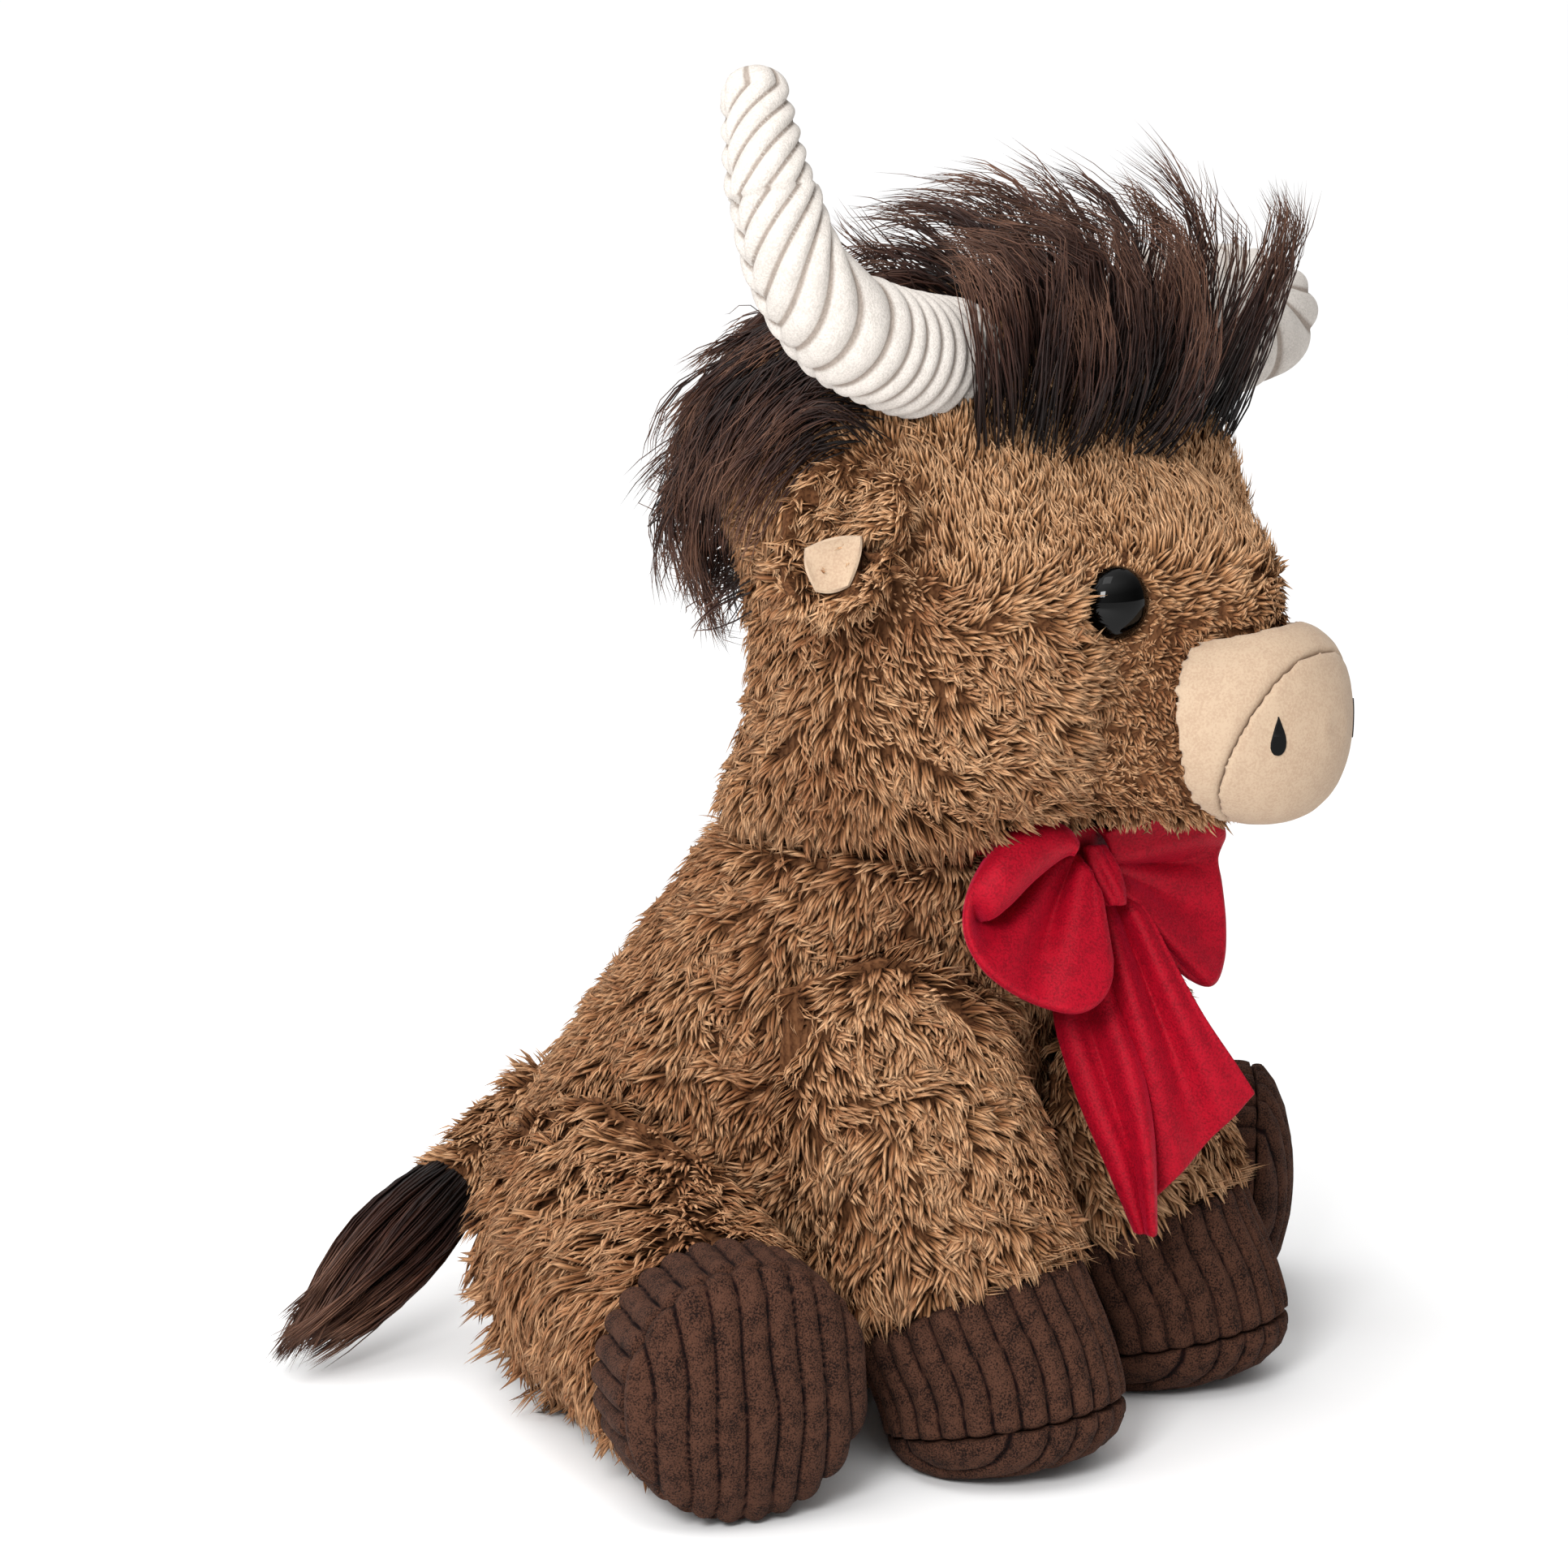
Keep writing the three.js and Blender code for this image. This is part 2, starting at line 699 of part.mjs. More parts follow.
// Crown of hair: a shell over the head, whose hem falls in pointed locks
function crownHem(rearward) {
  const heights = [crownFrontHem, crownSideHem, (crownSideHem + crownRearHem) / 2, crownRearHem];
  const index = Math.max(crownHemShares.findIndex((share) => share >= rearward), 1);
  const ease = THREE.MathUtils.smoothstep(rearward, crownHemShares[index - 1], crownHemShares[index]);
  return torsoHeight + THREE.MathUtils.lerp(heights[index - 1], heights[index], ease);
}

function crownForm() {
  const points = crownLocks * 4;
  const rise = 8;
  const crownTop = torsoHeight + crownRise;
  const span = crownRise - crownRearHem + crownLockDrop;
  const rings = [];
  for (let step = 0; step <= rise; step += 1) {
    const ring = [];
    for (let side = 0; side < points; side += 1) {
      const angle = (2 * Math.PI * side) / points;
      const rearward = 1 - Math.abs(1 - angle / Math.PI);
      const lock = Math.abs((side % 4) - 2) / 2;
      const hem = crownHem(rearward) - crownLockDrop * lock;
      const height = THREE.MathUtils.lerp(hem, crownTop, (step / rise) ** 0.85);
      const [, forward, width, depth] = rowAtHeight(crownShares, (height - crownTop + span) / span);
      const headRow = rowAtHeight(headShares, (height - torsoHeight) / headHeight);
      const full = THREE.MathUtils.smoothstep(step / rise + (1 - rearward) * 0.3, 0, 0.3);
      const [thick, mix] = [crownHemThick, THREE.MathUtils.lerp];
      const halfWidth = mix((headWidth / 2) * headRow[2] + thick, (crownWidth / 2) * width, full);
      const halfDepth = mix((headDepth / 2) * headRow[3] + thick, (crownDepth / 2) * depth, full);
      const centre = mix(neckCentre - headForward * headRow[1], neckCentre - crownSet - crownForward * forward, full);
      const power = 2 / mix(headRoundness, 2.3, full);
      const [sine, cosine] = [Math.sin(angle), -Math.cos(angle)];
      ring.push(new THREE.Vector3(
        halfWidth * Math.sign(sine) * Math.abs(sine) ** power,
        centre + halfDepth * Math.sign(cosine) * Math.abs(cosine) ** power,
        height,
      ));
    }
    rings.push(ring);
  }
  return ringSolid(rings);
}

// Row of a table whose first column rises, at a given value of that column
function rowAtHeight(rows, value) {
  const index = Math.min(Math.max(rows.findIndex((row) => row[0] >= value), 1), rows.length - 1);
  const [low, high] = [rows[index - 1], rows[index]];
  const share = THREE.MathUtils.clamp((value - low[0]) / (high[0] - low[0]), 0, 1);
  return low.map((entry, column) => THREE.MathUtils.lerp(entry, high[column], share));
}

const crown = solidOf(crownForm())
  .subtract(headGrown)
  .subtract(solidOf(hornForm(rightHornRoute, gap)))
  .subtract(solidOf(hornForm(leftHornRoute, gap)));
const crownClear = sides.reduce((piece, [, side]) => {
  const frame = earFrame(side);
  const spare = leafForm(frame, {
    length: earLength, width: earWidth + 4 * gap, thick: earThick + 6 * gap, cup: earCup, lift: 0, start: -gap,
  });
  return cutOverSwing(piece, spare, frame.root, axisY, -earSwingDeg, earSwingDeg, 5);
}, crown);
addPiece(body, 'hair_crown', geometryOf(crownClear), hair);

// Legs: a stuffed sleeve, then the band and the sole of the hoof
function routeLength(route) {
  return new THREE.CatmullRomCurve3(route, false, 'centripetal').getLength();
}

function legPieces(route, radius, shares, hoof, bandLength, soleDepth, soleShares) {
  const length = routeLength(route);
  const seam = 1 - soleDepth / length;
  const furEdge = seam - bandLength / length;
  const hoofShares = shares.map(() => hoof / radius);
  return {
    sleeve: (grow) => tubeForm({ route, radius, shares, to: furEdge - gap / length, steps: 9, grow }),
    band: (grow) => tubeForm({
      route, radius, shares: hoofShares, from: furEdge, to: seam - gap / length, steps: 3, grow,
    }),
    sole: (grow) => soleForm(route, hoof, seam, soleDepth, soleShares, grow),
  };
}

function soleForm(route, hoof, seam, soleDepth, soleShares, grow) {
  const curve = new THREE.CatmullRomCurve3(route, false, 'centripetal');
  const along = curve.getTangentAt(seam);
  const across = new THREE.Vector3().crossVectors(along, axisY).normalize();
  const other = new THREE.Vector3().crossVectors(along, across);
  const start = curve.getPointAt(seam);
  return ringSolid(soleShares.map(([depth, width], index) => {
    const ends = index === 0 ? -grow : grow * depth;
    const centre = start.clone().addScaledVector(along, soleDepth * depth + ends);
    return sectionRing(centre, across, other, hoof * width + grow, hoof * width + grow, 2, 24);
  }));
}

const frontLegObstacle = (side) => tubeForm({
  route: frontLegRoute.map((point) => mirrored(point, side)),
  radius: frontLegRadius, shares: frontLegShares, to: 0.7, steps: 6, sides: 24, grow: 4 * gap,
});

const frontLegAxis = (side) => (
  new THREE.Vector3(-Math.cos(radians(frontLegOutDeg)), -side * Math.sin(radians(frontLegOutDeg)), 0)
);

sides.forEach(([word, side]) => {
  const pivot = mirrored(shoulder, side);
  const leg = groupAt(pivot);
  const route = frontLegRoute.map((point) => mirrored(point, side));
  const pieces = legPieces(
    route, frontLegRadius, frontLegShares, hoofRadius, frontBandLength, frontSoleDepth, frontSoleShares,
  );
  const cut = (form) => cutOverSwing(
    solidOf(form).subtract(underFloor), torsoObstacle, pivot, frontLegAxis(side), 0, frontLegSwingDeg, 3,
  );
  addPiece(leg, `front_leg_${word}`, geometryOf(cut(pieces.sleeve(0))), pile);
  addPiece(leg, `front_hoof_band_${word}`, geometryOf(cut(pieces.band(0))), corduroy);
  addPiece(leg, `front_hoof_sole_${word}`, geometryOf(cut(pieces.sole(0))), corduroy);
});

sides.forEach(([word, side]) => {
  const route = hindLegRoute.map((point) => mirrored(point, side));
  const pieces = legPieces(
    route, hindLegRadius, hindLegShares, hindHoofRadius, hindBandLength, hindSoleDepth, hindSoleShares,
  );
  const cut = (form) => solidOf(form).subtract(underFloor).subtract(torsoSolid);
  const thigh = cutOverSwing(
    cut(pieces.sleeve(0)), frontLegObstacle(side), mirrored(shoulder, side), frontLegAxis(side),
    0, -frontLegSwingDeg, 3,
  );
  addPiece(body, `hind_leg_${word}`, geometryOf(thigh), pile);
  addPiece(body, `hind_hoof_band_${word}`, geometryOf(cut(pieces.band(0))), corduroy);
  addPiece(body, `hind_hoof_sole_${word}`, geometryOf(cut(pieces.sole(0))), corduroy);
});

// Tail, laid round to the right of the cow
const tailRootDepth = torsoDepthAt(tailHeight) + tailRadius + gap;

function torsoDepthAt(height) {
  const [, lean, , depth] = rowAtHeight(torsoShares, height / torsoHeight);
  return (torsoDepth / 2) * depth - torsoSet - torsoLean * lean;
}

const tailRoot = new THREE.Vector3(0, tailRootDepth, tailHeight);
const tailAlong = new THREE.Vector3(
  -Math.cos(radians(tailTrailDeg)) * Math.cos(radians(tailDroopDeg)),
  Math.sin(radians(tailTrailDeg)) * Math.cos(radians(tailDroopDeg)),
  -Math.sin(radians(tailDroopDeg)),
);

function straightForm(start, along, rows, sides) {
  const across = new THREE.Vector3().crossVectors(along, axisZ).normalize();
  const other = new THREE.Vector3().crossVectors(along, across);
  return ringSolid(rows.map(([distance, radius]) => (
    sectionRing(start.clone().addScaledVector(along, distance), across, other, radius, radius, 2, sides)
  )));
}

const tail = groupAt(tailRoot);
const clearOfTorso = (form) => geometryOf(cutOverSwing(
  solidOf(form), torsoObstacle, tailRoot, axisZ, -tailSwingDeg, 0, 11,
));
const stubRows = [-0.97, -0.8, -0.45, 0].map((share) => [tailRadius * share, tailRadius * Math.sqrt(1 - share * share)]);
stubRows.push([tailStubLength, tailRadius]);
addPiece(tail, 'tail_stub', clearOfTorso(straightForm(tailRoot, tailAlong, stubRows, 20)), pile);
const tuftStart = tailRoot.clone().addScaledVector(tailAlong, tailStubLength + gap);
const tuftRows = tailTuftShares.map(([along, radius]) => [tailTuftLength * along, tailTuftRadius * radius]);
addPiece(tail, 'tail_tuft', clearOfTorso(straightForm(tuftStart, tailAlong, tuftRows, 20)), hair);

// Neck ribbon, seated in the crease between head and torso
const neckSection = rowAtHeight(torsoShares, 1);
const neckHalfWidth = (torsoWidth / 2) * neckSection[2];
const neckHalfDepth = (torsoDepth / 2) * neckSection[3];

function neckForm(spare, from, to) {
  const rings = [from, to].map((height) => sectionRing(
    new THREE.Vector3(0, neckCentre, height), axisX, axisY, neckHalfWidth + spare, neckHalfDepth + spare,
    torsoRoundness, 32,
  ));
  return ringSolid(rings);
}

const ribbonTop = torsoHeight + ribbonTall / 3;
const ribbonBottom = ribbonTop - ribbonTall;
const ribbon = solidOf(neckForm(ribbonThick + gap, ribbonBottom, ribbonTop))
  .subtract(solidOf(neckForm(0, ribbonBottom - overrun, ribbonTop + overrun)))
  .subtract(torsoSolid)
  .subtract(headGrown);
addPiece(body, 'neck_ribbon', geometryOf(ribbon), bowCloth);

// Knot, a tight fold of ribbon in front of the neck
const knotCentre = new THREE.Vector3(
  0, neckCentre - neckHalfDepth - ribbonThick - knotStandOff, torsoHeight - knotDrop,
);

function knotForm(grow) {
  const rings = [];
  const steps = 8;
  for (let step = 0; step <= steps; step += 1) {
    const share = knotEndShare * ((2 * step) / steps - 1);
    const bulge = Math.sqrt(1 - share * share) ** 0.8;
    const centre = knotCentre.clone().addScaledVector(axisZ, ((knotTall / 2) + grow) * share);
    const half = [(knotWide / 2) * bulge + grow, (knotDeep / 2) * bulge + grow];
    rings.push(sectionRing(centre, axisX, axisY, half[0], half[1], knotRoundness, 24));
  }
  return ringSolid(rings);
}

const ribbonGrown = solidOf(neckForm(ribbonThick + 2 * gap, ribbonBottom - gap, ribbonTop + gap));
const knot = solidOf(knotForm(0)).subtract(torsoSolid).subtract(headGrown).subtract(ribbonGrown);
addPiece(body, 'bow_knot', geometryOf(knot), bowCloth);

// Loops, each a band of cloth that flares out of the knot, turns and comes back behind
function loopForm(side, sweepDeg, loopReach) {
  const outward = new THREE.Vector3(side * Math.cos(radians(sweepDeg)), Math.sin(radians(sweepDeg)), 0);
  const forward = new THREE.Vector3(side * Math.sin(radians(sweepDeg)), -Math.cos(radians(sweepDeg)), 0);
  const steps = 12;
  const columns = 8;
  const middleOf = (share, across) => {
    const turn = 2 * Math.PI * (share - 0.5);
    const out = (1 + Math.cos(turn)) / 2;
    const puff = -Math.sin(turn) * Math.sqrt(Math.max(out, 0.02));
    const flare = THREE.MathUtils.smoothstep(out, 0, 0.75);
    const halfTall = THREE.MathUtils.lerp(knotTall / 3.2, loopTall / 2, flare);
    const reach = loopReach * out * (1 - 0.16 * across * across);
    const pleat = loopPleat * Math.cos(loopPleats * Math.PI * across) * (1 - 0.55 * out);
    return knotCentre.clone()
      .addScaledVector(outward, knotWide / 4 + reach)
      .addScaledVector(axisZ, halfTall * across - loopDrop * out)
      .addScaledVector(forward, loopForward + (loopPuff / 2) * puff * (1 - 0.35 * across * across) + pleat);
  };
  const skin = (share, across, face) => {
    const step = 1e-3;
    const along = middleOf(share + step, across).sub(middleOf(share - step, across));
    const over = middleOf(share, across + step).sub(middleOf(share, across - step));
    const normal = along.cross(over).normalize();
    return middleOf(share, across).addScaledVector(normal, (face * clothThick) / 2);
  };
  const rings = [];
  for (let step = 0; step <= steps; step += 1) {
    const share = 0.03 + (0.94 * step) / steps;
    const ring = [];
    for (let column = 0; column <= columns; column += 1) {
      ring.push(skin(share, (2 * column) / columns - 1, 1));
    }
    for (let column = columns; column >= 0; column -= 1) {
      ring.push(skin(share, (2 * column) / columns - 1, -1));
    }
    rings.push(ring);
  }
  return ringSolid(rings);
}

const knotGrown = solidOf(knotForm(gap));
// Tails of the bow, gathered under the knot, that fall free with a soft fold each
const bowTailPivot = knotCentre.clone().add(new THREE.Vector3(0, -knotDeep / 4, (-knotTall / 2) * knotEndShare));

function bowTailForm({ length, rows, folds, slant }, spare = 0) {
  const steps = 9;
  const columns = 8;
  const point = (step, column, face) => {
    const share = step / steps;
    const across = column / columns;
    const [, left, right, cut] = rowAtHeight(rows, share);
    const x = THREE.MathUtils.lerp(left - spare, right + spare, across);
    const drop = length * share * (1 - cut * across);
    const wave = bowTailFold * Math.sin(folds * Math.PI * across) * Math.min(1, 0.2 + share * 2.5);
    const belly = bowTailForward * Math.sin((Math.PI / 2) * share) + slant * x * Math.min(2 * share, 1);
    return new THREE.Vector3(
      x, bowTailPivot.y - belly - wave + face * (clothThick / 2 + spare), bowTailPivot.z - 2 * gap - drop,
    );
  };
  const rings = [];
  for (let step = 0; step <= steps; step += 1) {
    const ring = [];
    for (let column = 0; column <= columns; column += 1) {
      ring.push(point(step, column, -1));
    }
    for (let column = columns; column >= 0; column -= 1) {
      ring.push(point(step, column, 1));
    }
    rings.push(ring);
  }
  return ringSolid(rings);
}

const bowTails = [
  ['bow_tail_right', {
    length: rightTailLength,
    slant: rightTailSlant,
    folds: 2,
    // part of the drop, left edge, right edge and slant of the cut end
    rows: [
      [0, -tailTopWide / 2, -gap, 0],
      [0.2, -rightTailWide * 0.8, -gap, 0],
      [0.5, -rightTailWide, -gap, 0],
      [0.8, -rightTailWide * 0.75, -gap, 0],
      [1, -rightTailWide * 0.4, -gap, 0],
    ],
  }],
  ['bow_tail_left', {
    length: leftTailLength,
    slant: leftTailSlant,
    folds: 3,
    rows: [
      [0, gap, tailTopWide / 2, 0],
      [0.25, gap, leftTailWide * 0.36, 0.1],
      [0.5, gap, leftTailWide * 0.8, 0.2],
      [1, gap, leftTailWide, 0.4],
    ],
  }],
];

const loops = [
  ['right', -1, rightLoopSweepDeg, rightLoopReach],
  ['left', 1, leftLoopSweepDeg, leftLoopReach],
];

loops.forEach(([word, side, sweepDeg, reach]) => {
  const loop = solidOf(loopForm(side, sweepDeg, reach))
    .subtract(torsoSolid)
    .subtract(headGrown)
    .subtract(ribbonGrown)
    .subtract(knotGrown);
  const clear = cutOverSwing(
    loop, frontLegObstacle(side), mirrored(shoulder, side), frontLegAxis(side), 0, -frontLegSwingDeg, 2,
  );
  const free = bowTails.reduce((piece, [, shape]) => cutOverSwing(
    piece, bowTailForm(shape, 2 * gap), bowTailPivot, axisX.clone().negate(), 0, -bowTailSwingDeg, 2,
  ), clear);
  addPiece(body, `bow_loop_${word}`, geometryOf(free), bowCloth);
});


bowTails.forEach(([name, shape]) => {
  addPiece(groupAt(bowTailPivot), name, bowTailForm(shape), bowCloth);
});

export default cow;
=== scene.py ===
# %% [markdown]
# # Plush cow
# A seated soft toy: a stuffed body of curly brown pile, corduroy hooves and horns, a crown of long
# hair, a velour muzzle and a tied velour bow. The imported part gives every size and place. The looks
# are made over it here: stuffed skins first, then pile, hair, ribbed cloth and ribbon.

import math

import bpy
import numpy as np
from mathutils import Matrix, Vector
from mathutils.bvhtree import BVHTree


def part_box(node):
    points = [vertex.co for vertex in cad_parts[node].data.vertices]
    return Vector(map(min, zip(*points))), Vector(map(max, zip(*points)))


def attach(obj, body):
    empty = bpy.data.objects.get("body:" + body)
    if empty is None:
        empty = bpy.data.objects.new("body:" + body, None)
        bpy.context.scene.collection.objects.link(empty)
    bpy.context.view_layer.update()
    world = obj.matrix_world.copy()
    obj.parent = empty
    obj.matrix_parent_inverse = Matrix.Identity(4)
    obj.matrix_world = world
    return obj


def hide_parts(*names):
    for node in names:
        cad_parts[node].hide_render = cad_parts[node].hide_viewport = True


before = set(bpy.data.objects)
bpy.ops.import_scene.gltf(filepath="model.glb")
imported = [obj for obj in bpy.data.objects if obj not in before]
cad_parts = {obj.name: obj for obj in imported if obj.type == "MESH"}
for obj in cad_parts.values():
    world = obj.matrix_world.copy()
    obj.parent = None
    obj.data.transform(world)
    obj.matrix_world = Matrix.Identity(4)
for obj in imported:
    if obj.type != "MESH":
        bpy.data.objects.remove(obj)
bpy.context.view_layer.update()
SIDES = (("right", -1), ("left", 1))


# %% [markdown]
# ## Small helpers
# Blender's operators act on whatever is selected, so each helper first selects its own piece and
# nothing else. A modifier is applied at once, so that what follows works on real faces.

# %% Selecting, copying and shaping
def mm(value):
    """Millimetres to Blender's metres, for a number or a list."""
    return np.asarray(value, float) / 1000 if np.ndim(value) else value / 1000


def pick(*pieces):
    """Selects these pieces alone, with the first one active."""
    if bpy.context.object and bpy.context.object.mode != "OBJECT":
        bpy.ops.object.mode_set(mode="OBJECT")
    bpy.ops.object.select_all(action="DESELECT")
    for piece in pieces:
        piece.select_set(True)
    bpy.context.view_layer.objects.active = pieces[0]


def modify(piece, kind, **settings):
    """Adds a modifier with its settings and applies it."""
    pick(piece)
    modifier = piece.modifiers.new(kind.title(), kind)
    for name, value in settings.items():
        setattr(modifier, name, value)
    bpy.ops.object.modifier_apply(modifier=modifier.name)


def mend(piece, merge=0.0, outward=True):
    """Merges points that lie closer than a distance, and turns the faces outward."""
    pick(piece)
    bpy.ops.object.mode_set(mode="EDIT")
    bpy.ops.mesh.select_all(action="SELECT")
    if merge:
        bpy.ops.mesh.remove_doubles(threshold=merge)
    if outward:
        bpy.ops.mesh.normals_make_consistent(inside=False)
    bpy.ops.object.mode_set(mode="OBJECT")


def copy_of(node, name):
    """A copy of a CAD node with its loose triangles merged. Their faces point the right way already."""
    piece = bpy.data.objects.new(name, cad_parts[node].data.copy())
    bpy.context.scene.collection.objects.link(piece)
    mend(piece, merge=1e-5, outward=False)
    return piece


def points_of(piece, what="co"):
    """The piece's points, or the way each faces, as rows of x, y and z."""
    rows = np.empty(len(piece.data.vertices) * 3, np.float32)
    piece.data.vertices.foreach_get(what, rows)
    return rows.reshape(-1, 3).astype(float)


def normals_of(piece):
    """The way the surface faces at each point."""
    return points_of(piece, "normal")


def move_points(piece, points):
    """Puts the piece's points in new places."""
    piece.data.vertices.foreach_set("co", np.ascontiguousarray(points, np.float32).ravel())
    piece.data.update()
    piece.data.update_tag()


def smooth_shading(piece, degrees=180):
    """Smooth shading, with edges sharper than this angle kept."""
    pick(piece)
    if degrees >= 180:
        bpy.ops.object.shade_smooth()
    else:
        bpy.ops.object.shade_smooth_by_angle(angle=math.radians(degrees))


def unit(vectors):
    """Rows scaled to length one."""
    lengths = np.linalg.norm(vectors, axis=-1, keepdims=True)
    return vectors / np.maximum(lengths, 1e-9)


def ease(value, low, high):
    """0 below low, 1 above high and smooth between."""
    share = np.clip((value - low) / (high - low), 0, 1)
    return share * share * (3 - 2 * share)


def waves(points, length, seed, count=7):
    """A smooth random value from about -1 to 1 that varies over this length."""
    rng = np.random.default_rng(seed)
    way = unit(rng.normal(size=(count, 3))) * rng.uniform(0.6, 1.5, (count, 1)) * 2 * np.pi / length
    return np.sin(points @ way.T + rng.uniform(0, 2 * np.pi, count)).sum(1) / np.sqrt(count) / 1.1


def finish_piece(piece, body, slot, material, *nodes):
    """Gives a piece its finish and body, and hides the CAD nodes that it stands for. The slot is not used."""
    piece.data.materials.clear()
    piece.data.materials.append(material)
    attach(piece, body)
    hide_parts(*nodes)


# %% [markdown]
# ## Finishes
# Colours are written as the hex values that a picture shows. Blender works in linear light, so one
# function turns them. Each finish is a small tree of nodes on the standard shader.

# %% Colour and node helpers
def colour(code):
    """Linear colour of an sRGB hex value."""
    parts = [int(code[i:i + 2], 16) / 255 for i in (1, 3, 5)]
    return [v / 12.92 if v <= 0.04045 else ((v + 0.055) / 1.055) ** 2.4 for v in parts] + [1]


def add_node(tree, kind, links=None, values=None, **settings):
    """Adds a node. Links feed its inputs, values fill inputs by number, and settings go by name."""
    node = tree.nodes.new(kind)
    for name, value in settings.items():
        if name in node.inputs:
            node.inputs[name].default_value = value
        else:
            setattr(node, name, value)
    for number, value in (values or {}).items():
        node.inputs[number].default_value = value
    for name, source in (links or {}).items():
        tree.links.new(source, node.inputs[name])
    return node


def new_material(name, **settings):
    """A material with the standard shader and these values on its own sockets."""
    material = bpy.data.materials.new(name)
    material.use_nodes = True
    shader = material.node_tree.nodes["Principled BSDF"]
    for key, value in settings.items():
        shader.inputs[key.replace("_", " ")].default_value = value
    return material, material.node_tree, shader


def ramp(tree, source, *stops):
    """A colour ramp fed by a value, with (place, hex) stops."""
    node = add_node(tree, "ShaderNodeValToRGB", {"Fac": source})
    while len(node.color_ramp.elements) < len(stops):
        node.color_ramp.elements.new(1)
    for element, (place, code) in zip(node.color_ramp.elements, stops):
        element.position = place
        element.color = colour(code)
    return node.outputs["Color"]


def multiply(tree, first, second):
    """Two colours multiplied."""
    mix = add_node(tree, "ShaderNodeMix", {6: first, 7: second}, {0: 1.0}, data_type="RGBA", blend_type="MULTIPLY")
    return mix.outputs[2]


def bumped(tree, shader, height, strength, distance):
    """Lets a value raise the surface under the light, by this distance in metres."""
    bump = add_node(tree, "ShaderNodeBump", {"Height": height}, Strength=strength, Distance=distance)
    tree.links.new(bump.outputs["Normal"], shader.inputs["Normal"])


# %% Pile and hair
def strand_material(name, root, middle, tip, shade_low, shade_high, **settings):
    """Fibre darker at its root, as painted shade between the locks, with its own tone for each lock, which on the
    pile also carries painted light and shade, and fine lines along it.
    """
    material, tree, shader = new_material(name, **settings)
    lock = add_node(tree, "ShaderNodeAttribute", attribute_name="lock")
    parts = add_node(tree, "ShaderNodeSeparateColor", {"Color": lock.outputs["Color"]})
    # Painted shade: each strand darkens towards its root, where the locks shade each other
    base = ramp(tree, parts.outputs["Red"], (0.1, root), (0.5, middle), (0.85, tip))
    tint = ramp(tree, parts.outputs["Green"], (0.0, shade_low), (1.0, shade_high))
    uv = add_node(tree, "ShaderNodeUVMap", uv_map="fibre")
    lines = add_node(tree, "ShaderNodeTexNoise", {"Vector": uv.outputs["UV"]}, Scale=1, Detail=2)
    fine = ramp(tree, lines.outputs["Fac"], (0.36, "#a09080"), (0.56, "#ffffff"))
    toned = multiply(tree, multiply(tree, base, tint), fine)
    tree.links.new(toned, shader.inputs["Base Color"])
    bumped(tree, shader, lines.outputs["Fac"], 0.5, mm(0.3))
    return material


# Acrylic sherpa pile, dull, with painted shade at the roots between its locks and tan at their tips
pile = strand_material(
    "acrylic pile", "#5a3b24", "#ab805a", "#deb892", "#c4aa9a", "#fff8f2",
    Roughness=0.9, Specular_IOR_Level=0.15,
)
# Long acrylic hair, a little glossier than the pile because the fibres lie side by side
hair = strand_material(
    "acrylic hair", "#1c0d08", "#4c2c20", "#8a6450", "#7c6054", "#ffffff",
    Roughness=0.5, Specular_IOR_Level=0.3,
)


# %% [markdown]
# ## Cloth, thread and plastic
# The velour's nap is too short to model, so it is a mottle of two close colours with a fine bump.
# Corduroy reads the height of its own ribs and is darker in the grooves, where less light comes in.

# %% Velour, corduroy, thread and plastic
# Worn patches of the nap, in millimetres
PATCH_SIZE = 6


def cloth_material(name, low, high, grain, grain_bump, groove=None, **settings):
    """Short-napped cloth: two close colours mottled at the size of its nap, a fine bump and grooves darkened as
    painted shade.
    """
    material, tree, shader = new_material(name, **settings)
    place = add_node(tree, "ShaderNodeTexCoord").outputs["Object"]
    nap, patch = (
        add_node(tree, "ShaderNodeTexNoise", {"Vector": place}, Scale=1 / mm(size), Detail=detail).outputs["Fac"]
        for size, detail in ((grain, 4), (PATCH_SIZE, 2))
    )
    share = add_node(tree, "ShaderNodeMath", {0: patch}, {1: 0.3}, operation="MULTIPLY").outputs[0]
    mixed = add_node(tree, "ShaderNodeMath", {0: nap, 2: share}, {1: 0.7}, operation="MULTIPLY_ADD")
    tone = ramp(tree, mixed.outputs[0], (0.40, low), (0.56, high))
    if groove:
        rib_height = add_node(tree, "ShaderNodeAttribute", attribute_name="rib")
        tone = multiply(tree, tone, ramp(tree, rib_height.outputs["Fac"], (0.25, groove), (0.5, "#ffffff")))
    tree.links.new(tone, shader.inputs["Base Color"])
    bumped(tree, shader, nap, grain_bump, mm(0.6))
    return material


# Polyester velour with a nap under 1 mm, which the render can only show as a soft mottle
velour_tan = cloth_material(
    "tan velour", "#aa917a", "#b59e86", 0.8, 0.25, Roughness=0.85, Sheen_Weight=0.1, Specular_IOR_Level=0.15,
)
velour_red = cloth_material(
    "red velour", "#820318", "#a2061f", 0.8, 0.6, Roughness=0.6, Sheen_Weight=0.45, Sheen_Roughness=0.3,
    Sheen_Tint=colour("#ff3c64"), Specular_IOR_Level=0.12,
)
# Jumbo corduroy, whose plush ribs are crushed into small light and dark specks, painted in strong contrast so that
# the light ones also stand for highlights on the pile
corduroy = cloth_material(
    "brown jumbo corduroy", "#190c08", "#503326", 0.6, 1.4, "#5a221e", Roughness=0.9, Specular_IOR_Level=0.15,
)
horn_cloth = cloth_material(
    "cream corduroy", "#bcb5ae", "#cec7c0", 0.7, 0.7, "#c2bab4", Roughness=0.9, Specular_IOR_Level=0.2,
)
